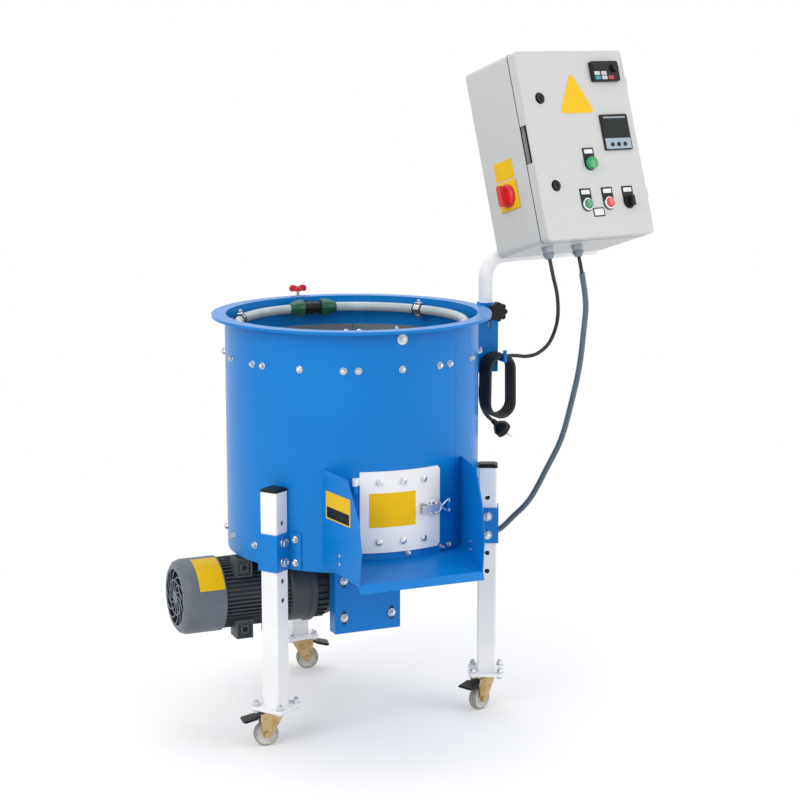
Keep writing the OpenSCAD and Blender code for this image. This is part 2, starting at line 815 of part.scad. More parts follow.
// Hat-shaped brackets: a cheek on each side of a leg, a web outside it and two wings on the drum.
module leg_brackets() {
    wing_r = drum_r + seat_gap;
    outer = leg_r + leg_w / 2 + seat_gap;
    color(blue) for (a = leg_turns) machine() at_turn(a) difference() {
        union() {
            band(wing_r, wing_r + bracket_t, bracket_z, bracket_z + bracket_h, wing_half);
            for (side = [-1, 1])
                translate([side * (bracket_in + bracket_t / 2), -(drum_r + outer) / 2, bracket_mid])
                    cube([bracket_t, outer - drum_r + 8, bracket_h], center = true);
            translate([0, -outer - bracket_t / 2, bracket_mid])
                cube([2 * (bracket_in + bracket_t), bracket_t, bracket_h], center = true);
        }
        block([-bracket_in, -outer, 0], [bracket_in, 0, rim_z]);
        cylinder(r = wing_r, h = rim_z, $fn = 180);
        block([-drum_r, -outer - 50, 0], [drum_r, -outer - bracket_t, rim_z]);
        for (z = leg_bolt_z)
            x_rod(leg_bolt_d + 2 * bolt_gap, -leg_w, 2 * leg_w, -leg_r, z);
        for (side = [-1, 1], z = wing_bolt_z)
            at_turn(side * wing_bolt_turn) out_rod(liner_bolt_d + 2 * bolt_gap, drum_r - 5, 20, z);
    }
}

// Bolts through the legs, wing bolts on the drum, castor bolts with domed nuts and gearbox bolts.
module frame_bolts() {
    across = bracket_in + bracket_t;
    head = leg_bolt_d * 0.65;
    wing_r = drum_r + seat_gap + bracket_t;
    color(steel) for (a = leg_turns) machine() at_turn(a) {
        for (z = leg_bolt_z) {
            x_rod(leg_bolt_d, -across - head, 2 * (across + head), -leg_r, z);
            x_rod(leg_bolt_d * 1.9, -across - head, head, -leg_r, z, 6);
            x_rod(leg_bolt_d * 1.9, across, head, -leg_r, z, 6);
        }
        for (side = [-1, 1], z = wing_bolt_z) at_turn(side * wing_bolt_turn) {
            out_rod(liner_bolt_d, drum_r + seat_gap, bracket_t + 2, z);
            out_rod(liner_nut_d, wing_r + 0.1, liner_nut_h, z, 6);
        }
        for (x = [-1, 1], y = [-1, 1]) translate([x * plate_bolt, y * plate_bolt - leg_r, 0]) {
            low = castor_plate_z - 5;
            translate([0, 0, low]) cylinder(d = plate_bolt_d, h = castor_h + plate_t + 6 - low);
            translate([0, 0, low]) cylinder(d = plate_bolt_d * 1.8, h = 5, $fn = 6);
            translate([0, 0, castor_h + plate_t]) cylinder(d = plate_bolt_d * 1.8, h = 6, $fn = 6);
            translate([0, 0, castor_h + plate_t + 6]) cylinder(d1 = plate_bolt_d * 1.4, d2 = 5, h = 5);
        }
    }
    color(steel) machine() for (x = [-slot_x, slot_x], z = slot_z) translate([x, 0, 0]) {
        out_rod(slot_bolt_d, channel_y - gearbox_foot, gearbox_foot + bracket_t + 7, z);
        out_rod(slot_bolt_d * 2.2, channel_y + bracket_t, 1.5, z);
        out_rod(slot_bolt_d * 1.8, channel_y + bracket_t, 7, z, 6);
    }
}

module castor_plates() {
    color(zinc) each_leg() {
        difference() {
            translate([0, 0, castor_plate_z]) linear_extrude(castor_plate_t)
                rounded(plate_w - 2, plate_w - 2, 8);
            for (x = [-1, 1], y = [-1, 1])
                translate([x * plate_bolt, y * plate_bolt, castor_plate_z - 1])
                    cylinder(d = plate_bolt_d + 2 * bolt_gap, h = castor_plate_t + 2);
        }
        translate([0, 0, crown_z - 2]) cylinder(d = king_d, h = castor_plate_z - crown_z + 2);
        translate([0, 0, crown_z - 5]) cylinder(d = king_d + 8, h = 5 - run_gap);
    }
}

// Draws a castor piece with the swivel axis as its own and the wheel behind it, at -Y.
module castor(i) {
    machine() at_turn(leg_turns[i]) translate([0, -leg_r, 0])
        rotate([0, 0, castor_turns[i] - leg_turns[i]]) children();
}

module castor_fork(i) {
    color(zinc) castor(i) {
        difference() {
            union() {
                translate([0, 0, crown_z]) cylinder(d = crown_d, h = crown_h);
                for (x = [-cheek_x - cheek_t, cheek_x]) side_plate([
                    [-crown_d / 2 + 3, crown_z], [crown_d / 2 - 8, crown_z + 2],
                        [crown_d / 2 - 8, crown_z - 4],
                    [-trail + 9, wheel_r - 4], [-trail - 4, wheel_r - 8], [-trail - 9, wheel_r - 2],
                    [-pedal_y - 6, pedal_z - 5], [-pedal_y - 6, pedal_z + 5], [-crown_d / 2, crown_z + 3]
                ], x, cheek_t);
            }
            translate([0, 0, crown_z - 10]) cylinder(d = king_d + 2 * run_gap, h = 30);
            x_rod(axle_d, -30, 60, -trail, wheel_r);
            x_rod(pedal_pin_d, -30, 60, -pedal_y, pedal_z);
        }
        x_rod(axle_d, -cheek_x - cheek_t - 4, 2 * (cheek_x + cheek_t + 4), -trail, wheel_r);
        for (x = [-cheek_x - cheek_t - 4, cheek_x + cheek_t]) x_rod(axle_d * 1.8, x, 4, -trail, wheel_r, 6);
        x_rod(pedal_pin_d, -cheek_x - cheek_t, 2 * (cheek_x + cheek_t), -pedal_y, pedal_z);
    }
}

module castor_wheel(i) {
    color([0.72, 0.74, 0.76]) castor(i) translate([0, -trail, wheel_r]) rotate([0, 90, 0]) difference() {
        rotate_extrude($fn = 64) polygon([
            [axle_d / 2 + run_gap, -wheel_w / 2], [axle_d, -wheel_w / 2], [axle_d + 2, -wheel_w / 2 + 3],
            [wheel_r - 7, -wheel_w / 2 + 3], [wheel_r - 5, -wheel_w / 2 + 1], [wheel_r - 2, -wheel_w / 2 + 1],
            [wheel_r, -wheel_w / 2 + 4], [wheel_r, wheel_w / 2 - 4], [wheel_r - 2, wheel_w / 2 - 1],
            [wheel_r - 5, wheel_w / 2 - 1], [wheel_r - 7, wheel_w / 2 - 3], [axle_d + 2, wheel_w / 2 - 3],
            [axle_d, wheel_w / 2], [axle_d / 2 + run_gap, wheel_w / 2]
        ]);
    }
}

// The brake pedal hangs on a pin between the cheeks and reaches out behind the wheel.
module castor_pedal(i) {
    inner = cheek_x - pass_gap / 2;
    color(black) castor(i) difference() {
        union() {
            x_rod(pedal_pin_d + 6, -inner, 2 * inner, -pedal_y, pedal_z);
            side_plate([
                [-pedal_y, pedal_z + 5], [-pedal_y - pedal_len, pedal_z - 4],
                    [-pedal_y - pedal_len - 3, pedal_z - 7],
                [-pedal_y - pedal_len + 3, pedal_z - 9], [-pedal_y, pedal_z]
            ], -inner, 2 * inner);
            side_plate([
                [-pedal_y - 12, pedal_z + 2], [-pedal_y - pedal_len, pedal_z - 4],
                [-pedal_y - pedal_len - 3, pedal_z - 7], [-pedal_y - pedal_len + 3, pedal_z - 9],
                [-pedal_y - 12, pedal_z - 3]
            ], -inner - 6, 2 * inner + 12);
        }
        x_rod(pedal_pin_d + 2 * run_gap, -30, 60, -pedal_y, pedal_z);
    }
}

module castor_fork_left() castor_fork(0);
module castor_fork_right() castor_fork(1);
module castor_fork_rear() castor_fork(2);
module castor_wheel_left() castor_wheel(0);
module castor_wheel_right() castor_wheel(1);
module castor_wheel_rear() castor_wheel(2);
module castor_pedal_left() castor_pedal(0);
module castor_pedal_right() castor_pedal(1);
module castor_pedal_rear() castor_pedal(2);

module gearbox_bracket() {
    back = channel_y - channel_flange;
    side = channel_w / 2;
    color(blue) machine() difference() {
        block([-side, -channel_y - bracket_t, channel_low], [side, -back, drum_z]);
        block([-side + bracket_t, -channel_y, channel_low - 1], [side - bracket_t, 0, drum_z + 1]);
        for (x = [-slot_x, slot_x], z = slot_z, end = [-1, 1]) translate([x, 0, 0])
            out_rod(slot_bolt_d + 1, channel_y - 5, 20, z + end * slot_len / 2);
        for (x = [-slot_x, slot_x], z = slot_z)
            block([x - slot_bolt_d / 2 - 0.5, -channel_y - 20, z - slot_len / 2],
                [x + slot_bolt_d / 2 + 0.5, -channel_y + 5, z + slot_len / 2]);
    }
}

// A worm gearbox: round wheel case, worm tube across it, a foot plate and cooling ribs below.
module gearbox_housing() {
    foot_x = channel_w / 2 - bracket_t - seat_gap;
    case_r = 57;
    tube_d = 84;
    color(motor_grey) machine() difference() {
        union() {
            translate([0, 0, gearbox_z]) cylinder(r = case_r, h = gearbox_h, $fn = 64);
            x_rod(tube_d, -gearbox_x, gearbox_w, motor_y, motor_z, 64);
            x_rod(flange_d - 20, -gearbox_x, 10, motor_y, motor_z, 64);
            block([-foot_x, -channel_y, slot_z[0] - 24],
                [foot_x, -channel_y + gearbox_foot + 4, slot_z[1] + 24]);
            block([-case_r, -channel_y + 4, motor_z - 34], [case_r, 0, motor_z + 34]);
            for (i = [-3 : 3])
                block([i * 15 - 2, -channel_y + 4, gearbox_z - 7],
                    [i * 15 + 2, motor_y + 30, gearbox_z + 20]);
            for (i = [-2 : 2])
                block([-gearbox_x + 2, -channel_y + 4, motor_z + i * 13 - 1.5],
                    [-case_r + 20, motor_y, motor_z + i * 13 + 1.5]);
        }
        translate([0, 0, gearbox_z - 20]) cylinder(d = drive_d + 2 * run_gap, h = gearbox_h + 40);
        x_rod(motor_shaft_d + 2 * run_gap, -gearbox_x - 1, gearbox_x + 31, motor_y, motor_z);
        for (x = [-slot_x, slot_x], z = slot_z) translate([x, 0, 0])
            out_rod(slot_bolt_d + 2 * bolt_gap, channel_y - gearbox_foot - 1, 20, z);
    }
}

module shaft_bearing() {
    color(steel) machine() difference() {
        union() {
            translate([0, 0, bearing_low]) cylinder(d = bearing_boss_d, h = floor_top + 5 - bearing_low);
            translate([0, 0, drum_z - 10]) cylinder(d = bearing_d, h = 10);
        }
        translate([0, 0, bearing_low - 1]) cylinder(d = drive_d + 2 * run_gap, h = 100);
    }
}

module drive_shaft() {
    low = gearbox_z - 9;
    color(steel) machine() {
        translate([0, 0, low]) cylinder(d = drive_d, h = rotor_z + rotor_t + 6 - low);
        translate([0, 0, low - 3]) cylinder(d = drive_d + 8, h = 3 + 1.5);
    }
}

// The rubbing disc with its ribs and a clamp cap over the shaft's end.
module rotor_disc() {
    bore = drive_d + 2 * run_gap;
    top = rotor_z + rotor_t;
    color(steel) machine() {
        difference() {
            union() {
                translate([0, 0, rotor_z]) cylinder(d = rotor_d, h = rotor_t, $fn = 180);
                translate([0, 0, rotor_z]) cylinder(d = rotor_hub_d, h = rotor_t + rotor_rib_h);
                for (i = [0 : rotor_rib_count - 1]) rotate([0, 0, i * 360 / rotor_rib_count])
                    block([rotor_hub_d / 2 - 2, -rotor_rib_w / 2, top - 1],
                        [rotor_d / 2 - 10, rotor_rib_w / 2, top + rotor_rib_h]);
            }
            translate([0, 0, rotor_z - 1]) cylinder(d = bore, h = 60);
        }
        translate([0, 0, top + rotor_rib_h]) cylinder(d = rotor_hub_d - 12, h = 5);
    }
}

// Draws a motor piece with z along the motor's axis, from the gearbox to the fan.
module motor_frame_axis(x) {
    translate([x, motor_y, motor_z]) rotate([0, -90, 0]) children();
}

module motor_frame() {
    core_d = motor_d - 2 * fin_h;
    pad_y = motor_y - 68;
    pad_x = [motor_end + 40, motor_x - 22];
    color(motor_grey) machine() difference() {
        union() {
            motor_frame_axis(motor_x) linear_extrude(motor_len) {
                circle(d = core_d, $fn = 96);
                for (i = [0 : fin_count - 1]) rotate((i + 0.5) * 360 / fin_count)
                    translate([motor_d / 2 - fin_h / 2 - 0.5, 0]) square([fin_h + 1, fin_t], center = true);
            }
            motor_frame_axis(motor_x + shield_t)
                cylinder(d1 = motor_d - 16, d2 = motor_d, h = shield_t, $fn = 64);
            motor_frame_axis(motor_x + shield_t + flange_t) cylinder(d = flange_d, h = flange_t, $fn = 64);
            motor_frame_axis(motor_end + cowl_lap) cylinder(d = cowl_seat_d, h = cowl_lap + 4, $fn = 64);
            for (x = pad_x, z = [-1, 1])
                block([x - pad_w / 2, pad_y, motor_z + z * 66 - pad_h / 2],
                    [x + pad_w / 2, motor_y - 26, motor_z + z * 66 + pad_h / 2]);
            for (x = pad_x)
                block([x - 3, pad_y + 14, motor_z - 60], [x + 3, motor_y, motor_z + 60]);
        }
        x_rod(motor_shaft_d + 2 * run_gap, cowl_end, -cowl_end, motor_y, motor_z);
        for (x = pad_x, z = [-1, 1]) translate([x, 0, 0])
            out_rod(12, -motor_y, 100, motor_z + z * 66);
    }
}

module motor_shaft() {
    color(steel) machine() x_rod(motor_shaft_d, fan_x - 6, 26 - fan_x, motor_y, motor_z);
}

module cooling_fan() {
    hub_d = motor_shaft_d + 22;
    color(black) machine() motor_frame_axis(fan_x + fan_w) difference() {
        union() {
            cylinder(d = hub_d, h = fan_w);
            cylinder(d = fan_d - 10, h = 3);
            for (i = [0 : 7]) rotate([0, 0, i * 45])
                block([hub_d / 2 - 2, -1.5, 0], [fan_d / 2, 1.5, fan_w]);
        }
        translate([0, 0, -1]) cylinder(d = motor_shaft_d + 2 * run_gap, h = fan_w + 2);
    }
}

// Openings of the grille: two rings of gaps between spokes that sweep round.
module grille_gaps() {
    spokes = 12;
    outer = cowl_d / 2 - 20;
    difference() {
        circle(r = outer, $fn = 64);
        circle(r = outer * 0.22, $fn = 32);
        difference() {
            circle(r = outer * 0.62 + 1.5, $fn = 64);
            circle(r = outer * 0.62 - 1.5, $fn = 64);
        }
        for (i = [0 : spokes - 1]) rotate(i * 360 / spokes) intersection() {
            translate([outer * 0.55, 0]) difference() {
                circle(r = outer * 0.56 + 1.3, $fn = 64);
                circle(r = outer * 0.56 - 1.3, $fn = 64);
            }
            square([outer * 1.3, outer * 1.3]);
        }
    }
}

module fan_cowl() {
    r = cowl_d / 2;
    color(motor_grey) machine() motor_frame_axis(motor_end + cowl_lap) difference() {
        rotate_extrude($fn = 96) polygon([
            [r - cowl_t, 0], [r, 0], [r, cowl_len - 16], [r - 4, cowl_len - 6], [r - 13, cowl_len],
                [0, cowl_len],
            [0, cowl_len - cowl_t], [r - 13.5, cowl_len - cowl_t], [r - 4 - cowl_t, cowl_len - 7],
                [r - cowl_t, cowl_len - 16]
        ]);
        translate([0, 0, cowl_len - 5]) linear_extrude(10) grille_gaps();
    }
}

module terminal_box() {
    mid_x = motor_x - 60;
    low_y = motor_y + motor_d / 2 + 0.2;
    color(motor_grey) machine() {
        block([mid_x - terminal_w / 2, low_y, motor_z - 40],
            [mid_x + terminal_w / 2, low_y + 34, motor_z + 40]);
        block([mid_x - terminal_w / 2 - 2, low_y + 34.2, motor_z - 42],
            [mid_x + terminal_w / 2 + 2, low_y + 44, motor_z + 42]);
        x_rod(gland_d, mid_x + terminal_w / 2, 22, low_y + 17, motor_z);
    }
}

// Draws a piece with the pole's axis as its own and x along the arm.
module pole_frame() {
    machine() translate([pole_x, 0, 0]) rotate([0, 0, arm_turn]) children();
}

// Draws a piece of the control box: its back is y = 0, its bottom z = 0 and its front faces -Y.
module box_frame() {
    pole_frame() translate([box_along, 0, arm_z]) rotate([-box_lean, 0, 0])
        translate([0, -box_back, -arm_seat]) children();
}

// A hat-shaped bracket on the drum, a clamp socket above it and a hook for the mains hank.
module pole_bracket() {
    half = pole_r + 3;
    outer = pole_x + pole_r + 3;
    wing_r = drum_r + seat_gap;
    wing = asin((half + bracket_t + bracket_wing) / drum_r);
    bolt_turn = asin((half + bracket_t + bracket_wing / 2) / drum_r);
    top = pole_bracket_z + pole_bracket_h;
    bolt_zs = [pole_bracket_z + 22, top - 36];
    color(blue) machine() {
        difference() {
            union() {
                at_turn(90) band(wing_r, wing_r + bracket_t, pole_bracket_z, top, wing);
                block([drum_r - 5, -half - bracket_t, pole_bracket_z],
                    [outer + bracket_t, half + bracket_t, top]);
                translate([pole_x, 0, socket_z]) cylinder(r = socket_r + socket_t, h = socket_h);
                block([rim_r - 6, -half - bracket_t, socket_z],
                    [outer + bracket_t, half + bracket_t, socket_z + socket_h - 6]);
                block([outer, -half, top - 5], [outer + bracket_t, half, socket_z + 5]);
                block([pole_x, -half - bracket_t - 8, knob_z - 10], [pole_x + 16, -half, knob_z + 10]);
            }
            block([0, -half, pole_bracket_z - 1], [outer, half, top - bracket_t]);
            cylinder(r = wing_r, h = 2 * rim_z, $fn = 180);
            translate([0, 0, rim_z - rim_lip - 1]) cylinder(r = rim_r + seat_gap, h = rim_z, $fn = 180);
            translate([pole_x, 0, pole_bracket_z - 1]) cylinder(r = socket_r, h = 300, $fn = 64);
            translate([pole_x + 8, 0, knob_z]) rotate([90, 0, 0])
                cylinder(d = knob_screw_d + 2 * run_gap, h = 60);
            for (side = [-1, 1], z = bolt_zs)
                at_turn(90 + side * bolt_turn) out_rod(liner_bolt_d + 2 * bolt_gap, drum_r - 5, 20, z);
            block([pole_x - 3, -half - 20, top - 18], [pole_x + 3, -half + 1, top + 1]);
        }
        translate([hook_x, -half - bracket_t, hook_z]) rotate([90, 0, 0]) cylinder(d = hook_d, h = hook_len);
        translate([hook_x, -half - bracket_t - hook_len, hook_z]) sphere(d = 1.15 * hook_d, $fn = 24);
        translate([hook_x, -half - bracket_t - hook_len, hook_z]) cylinder(d = hook_d, h = 22);
    }
    color(steel) machine() for (side = [-1, 1], z = bolt_zs) at_turn(90 + side * bolt_turn) {
        out_rod(liner_bolt_d, drum_r + seat_gap, bracket_t + 2, z);
        out_rod(liner_nut_d, wing_r + bracket_t + 0.1, liner_nut_h, z, 6);
    }
}

// A lobed knob on a screw that presses on the pole.
module clamp_knob() {
    face = pole_r + 3 + bracket_t + 8 + 2;
    lobes = 8;
    color(black) machine() translate([pole_x + 8, 0, knob_z]) rotate([90, 0, 0]) {
        translate([0, 0, pole_tip]) cylinder(d = knob_screw_d, h = face - pole_tip + 4);
        translate([0, 0, face]) cylinder(d = knob_d * 0.55, h = 6);
        translate([0, 0, face + 5]) linear_extrude(14) {
            circle(d = knob_d - 8, $fn = 48);
            for (i = [0 : lobes - 1]) rotate(i * 360 / lobes) translate([knob_d / 2 - 6, 0])
                circle(d = 12, $fn = 24);
        }
    }
}

// The solid of a bent bar: upright, bend and arm.
module bent_bar(d, extra) {
    translate([0, 0, pole_low - extra]) cylinder(d = d, h = arm_z - bend_r - pole_low + extra, $fn = 64);
    translate([bend_r, 0, arm_z - bend_r]) rotate([90, 0, 0]) rotate([0, 0, 90])
        rotate_extrude(angle = 90, $fn = 64) translate([bend_r, 0]) circle(d = d, $fn = 64);
    translate([bend_r, 0, arm_z]) rotate([0, 90, 0]) cylinder(d = d, h = arm_len - bend_r + extra, $fn = 64);
}

module pole() {
    color(white) difference() {
        union() {
            pole_frame() bent_bar(pole_d, 0);
            box_frame() {
                block([-110, 0, 0], [110, back_t, 90]);
                for (x = [-90, 60])
                    block([x, 0, arm_seat - 5], [x + 30, back_t + 6, arm_seat + 5]);
            }
        }
        pole_frame() bent_bar(pole_d - 2 * pole_wall, 1);
    }
}

module box_body() {
    side = box_w / 2;
    lip = 12;
    color(box_grey) box_frame() difference() {
        block([-side, -body_d, 0], [side, 0, box_h]);
        block([-side + box_t, -body_d + box_t, box_t], [side - box_t, -box_t, box_h - box_t]);
        block([-side + lip, -body_d - 1, lip], [side - lip, -body_d + 5, box_h - lip]);
        for (x = gland_xs)
            translate([x, gland_y, -1]) cylinder(d = gland_d * 0.7, h = 5);
        x_rod(12, -side - 1, 5, switch_y, switch_z);
    }
    color(box_grey) box_frame() for (z = lid_hinge_zs) lid_hinge(z, -1);
}

// One half of a door hinge: side -1 stands on the body with the pin, side 1 on the door.
module lid_hinge(z, half) {
    axis_x = box_w / 2 + lid_hinge_d / 2;
    axis_y = -body_d - lid_gap / 2;
    low = half < 0 ? z : z + 20.4;
    reach = half < 0 ? [lid_gap, 20] : [-20, -lid_gap];
    difference() {
        union() {
            translate([axis_x, axis_y, low]) cylinder(d = lid_hinge_d, h = 20);
            block([box_w / 2 - 0.5, axis_y + reach[0], low], [axis_x, axis_y + reach[1], low + 20]);
        }
        if (half > 0)
            translate([axis_x, axis_y, low - 1]) cylinder(d = 5 + 2 * run_gap, h = 22);
    }
    if (half < 0)
        translate([axis_x, axis_y, low + 10]) cylinder(d = 5, h = 28);
}

module box_door() {
    side = box_w / 2;
    back = body_d + lid_gap;
    color(box_grey) box_frame() difference() {
        union() {
            difference() {
                block([-side, -box_d, 0], [side, -back, box_h]);
                block([-side + box_t, -box_d + box_t, box_t], [side - box_t, -back + 1, box_h - box_t]);
                block([-side - 1, -box_d + 5, 168], [-side + 8, -back + 1, 249]);
            }
            for (z = lid_hinge_zs) lid_hinge(z, 1);
        }
        for (z = lock_zs) translate([lock_x, 0, 0])
            out_rod(lock_d * 0.7 + 2 * run_gap, box_d - 10, 20, z);
        for (p = [start_at, stop_at, selector_at]) translate([p[0], 0, 0])
            out_rod(button_d + 2 * run_gap, box_d - 10, 20, p[1]);
        translate([lamp_at[0], 0, 0]) out_rod(button_d, box_d - 10, 20, lamp_at[1]);
    }
}

// A quarter-turn lock with its cam behind the body's lip.
module lock(z) {
    cam_y = body_d - box_t - pass_gap;
    color(black) box_frame() translate([lock_x, 0, 0]) difference() {
        union() {
            out_rod(lock_d, box_d + 0.1, 4, z);
            out_rod(lock_d * 0.7, cam_y - 3, box_d - cam_y + 4, z);
            block([-5, -cam_y, z], [5, -cam_y + 3, z + 36]);
        }
        translate([0, -box_d - 4, z]) cube([3, 3, lock_d * 0.6], center = true);
    }
}

module lock_upper() lock(lock_zs[1]);
module lock_lower() lock(lock_zs[0]);

// A flat panel piece with round corners on the door's face.
module face_plate(at, size, rise, r) {
    translate([at[0], -box_d, at[1]]) rotate([90, 0, 0]) linear_extrude(rise) rounded(size[0], size[1], r);
}

module panel_displays() {
    color([0.55, 0.57, 0.60]) box_frame() {
        face_plate(keypad_at, keypad_size, 9, 4);
        translate([keypad_at[0] + 24, 0, 0]) out_rod(17, box_d + 9, 8, keypad_at[1] + 6);
        face_plate(display_at, display_size, 5, 3);
        for (i = [-1 : 1])
            translate([display_at[0] + i * 18, 0, 0]) out_rod(9, box_d + 5, 2, display_at[1] - 27);
    }
}

module panel_fittings() {
    color(steel) box_frame() {
        for (p = [start_at, stop_at, selector_at]) difference() {
            translate([p[0], 0, 0]) out_rod(collar_d, box_d, collar_h, p[1]);
            translate([p[0], 0, 0]) out_rod(button_d + 2 * run_gap, box_d - 1, collar_h + 2, p[1]);
        }
        translate([lamp_at[0], 0, 0]) {
            out_rod(button_d - 1, box_d - 12, 12 + collar_h, lamp_at[1]);
            out_rod(collar_d, box_d, 3, lamp_at[1]);
            translate([0, -box_d - collar_h, lamp_at[1]]) sphere(d = button_d - 3);
        }
        for (p = [start_at, stop_at, selector_at, lamp_at])
            face_plate([p[0], p[1] + collar_d / 2 + 12], [30, 20], 1, 2);
    }
}

module push_button(at) {
    stem = 11 + button_travel;
    translate([at[0], 0, 0]) out_rod(button_d, box_d - stem, stem + collar_h + button_rise, at[1]);
}

module start_button() color([0.10, 0.60, 0.25]) box_frame() push_button(start_at);
module stop_button() color([0.80, 0.08, 0.08]) box_frame() push_button(stop_at);

module selector_knob() {
    color(black) box_frame() translate([selector_at[0], 0, 0]) {
        out_rod(button_d, box_d - 14, 14 + collar_h + 2, selector_at[1]);
        block([-4, -box_d - collar_h - 12, selector_at[1] - 11], [4, -box_d - collar_h, selector_at[1] + 11]);
    }
}

module box_fittings() {
    side = box_w / 2;
    color([0.55, 0.58, 0.62]) box_frame() for (x = gland_xs) translate([x, gland_y, 0]) difference() {
        union() {
            translate([0, 0, -7]) cylinder(d = gland_d + 4, h = 7, $fn = 6);
            translate([0, 0, -18]) cylinder(d1 = gland_d - 5, d2 = gland_d, h = 12);
            translate([0, 0, -7]) cylinder(d = gland_d * 0.7 - 0.4, h = 18);
        }
        translate([0, 0, -30]) cylinder(d = lead_d, h = 60);
    }
    color([0.95, 0.80, 0.10]) box_frame() difference() {
        block([-side - 4, switch_y - switch_plate / 2, switch_z - switch_plate / 2],
            [-side, switch_y + switch_plate / 2, switch_z + switch_plate / 2]);
        x_rod(11, -side - 10, 20, switch_y, switch_z);
    }
}

module main_switch() {
    side = box_w / 2;
    color([0.80, 0.08, 0.08]) box_frame() {
        x_rod(36, -side - 4.3 - 12, 12, switch_y, switch_z);
        block([-side - 28, switch_y - 6, switch_z - 20], [-side - 16, switch_y + 6, switch_z + 20]);
        x_rod(11 - 2 * run_gap, -side - 6, 40, switch_y, switch_z);
    }
}

// The plate inside the box with the motor drive, a contactor and a row of terminals.
module mounting_plate() {
    y = -box_t - 10;
    plate_half = box_w / 2 - 30;
    color(steel) box_frame() {
        block([-plate_half, y - 2, 40], [plate_half, y, box_h - 40]);
        for (x = [15 - plate_half, plate_half - 15], z = [60, box_h - 60])
            translate([x, y, z]) rotate([-90, 0, 0]) cylinder(d = 10, h = 10);
        block([20 - plate_half, y - 82, box_h * 0.47], [10, y - 2, box_h * 0.84]);
        block([30, y - 62, box_h * 0.54], [plate_half - 30, y - 2, box_h * 0.74]);
        for (i = [0 : 9])
            block([25 - plate_half + i * 16, y - 42, box_h * 0.22],
                [39 - plate_half + i * 16, y - 2, box_h * 0.32]);
    }
}

// A smooth curve through the points of a route, with a number of steps for each stretch.
function spline_point(a, b, c, d, t) =
    0.5 * (2 * b + (c - a) * t + (2 * a - 5 * b + 4 * c - d) * t * t + (3 * b - a - 3 * c + d) * t * t * t);
function spline(p, steps) = [
    for (i = [0 : len(p) - 2], s = [0 : steps - 1])
        spline_point(p[max(i - 1, 0)], p[i], p[i + 1], p[min(i + 2, len(p) - 1)], s / steps),
    p[len(p) - 1]
];
function unit(v) = v / norm(v);
function tangent(p, i) = unit(p[min(i + 1, len(p) - 1)] - p[max(i - 1, 0)]);
function side_step(n, t) = unit(n - t * (n * t));
// One normal for each point, carried along without twist.
function normals(p, n, i = 0) =
    i == len(p) ? [] : let (m = side_step(n, tangent(p, i))) concat([m], normals(p, m, i + 1));

// A tube swept along points as one closed solid.
module tube(p, d, sides, start) {
    ns = normals(p, start);
    rings = [
        for (i = [0 : len(p) - 1], k = [0 : sides - 1])
            let (b = cross(tangent(p, i), ns[i]), a = 360 * k / sides)
                p[i] + d / 2 * (cos(a) * ns[i] + sin(a) * b)
    ];
    last = (len(p) - 1) * sides;
    polyhedron(rings, concat(
        [[for (k = [0 : sides - 1]) sides - 1 - k]],
        [[for (k = [0 : sides - 1]) last + k]],
        [for (i = [0 : len(p) - 2], k = [0 : sides - 1])
            let (a = i * sides + k, b = i * sides + (k + 1) % sides) [a, b, b + sides]],
        [for (i = [0 : len(p) - 2], k = [0 : sides - 1])
            let (a = i * sides + k, b = i * sides + (k + 1) % sides) [a, b + sides, a + sides]]
    ));
}

// Routes, about the drum's axis
lead_route = [
    [407.8, -102.6, 966.4], [411, -116, 925], [424, -112, 880], [430, -102, 828], [420, -90, 782],
    [398, -80, 757], [372, -75, 750], [346, -73, 753], [325.6, -73, 753.5]
];
cable_route = [[487.6, -84.1, 966.4], [489, -91, 945], [490.4, -96.3, 926.4]];
conduit_route = [
    [490.4, -96.5, 925.8], [499, -100, 860], [498, -94, 796], [494, -85, 720], [482, -75, 643],
    [466, -60, 560], [438, -45, 491], [410, -25, 424], [381, -5, 384], [350, 20, 347], [300, 50, 335],
    [230, 85, 330], [120, 125, 318], [10, 140, 296], [-50, 133, 275], [-87.4, 132.2, 273]
];

// The hank hangs on the hook: long loops side by side, then a tail down to the plug.
hank_half_w = 30;
hank_run = 72;
hank_pitch = lead_d + 1;
hank_y = -73;
hank_top = hook_z + hook_d / 2 + 0.5 + lead_d / 2;
hank_middle = hank_top - hank_half_w - hank_run / 2;
hank_rings = 24;
hank_steps = hank_rings * hank_loops + hank_rings / 4;
hank_bend = PI * hank_half_w / 2;
hank_turn = 4 * hank_bend + 2 * hank_run;
// A point on a loop with two straight runs, at a distance from its top.
function loop_point(d) =
    let (w = hank_half_w, half = hank_run / 2, a = 90 / hank_bend)
        d < hank_bend ? [w * cos(90 + a * d), half + w * sin(90 + a * d)]
        : d < hank_bend + hank_run ? [-w, half + hank_bend - d]
        : d < 3 * hank_bend + hank_run
            ? let (t = 90 + a * (d - hank_run)) [w * cos(t), w * sin(t) - half]
        : d < 3 * hank_bend + 2 * hank_run ? [w, d - 3 * hank_bend - 1.5 * hank_run]
        : let (t = 90 + a * (d - 2 * hank_run)) [w * cos(t), half + w * sin(t)];
function hank_point(k) =
    let (p = loop_point(hank_turn * (k % hank_rings) / hank_rings))
        [hook_x + p[0], hank_y + hank_pitch * k / hank_rings, hank_middle + p[1]];
hank_end = hank_point(hank_steps);
tail = [[0, 1, -10], [1, 3, -28], [4.5, 5, -45], [11, 6, -60], [20.5, 6, -73], [32, 6, -83]];
plug_run = tail[5] - tail[4];
hank_path = concat(
    [[hook_x + lead_d, hank_y, hank_top]],
    [for (k = [0 : hank_steps]) hank_point(k)],
    [for (t = tail) hank_end + t]
);
plug_turn = atan2(plug_run[0], plug_run[2]);

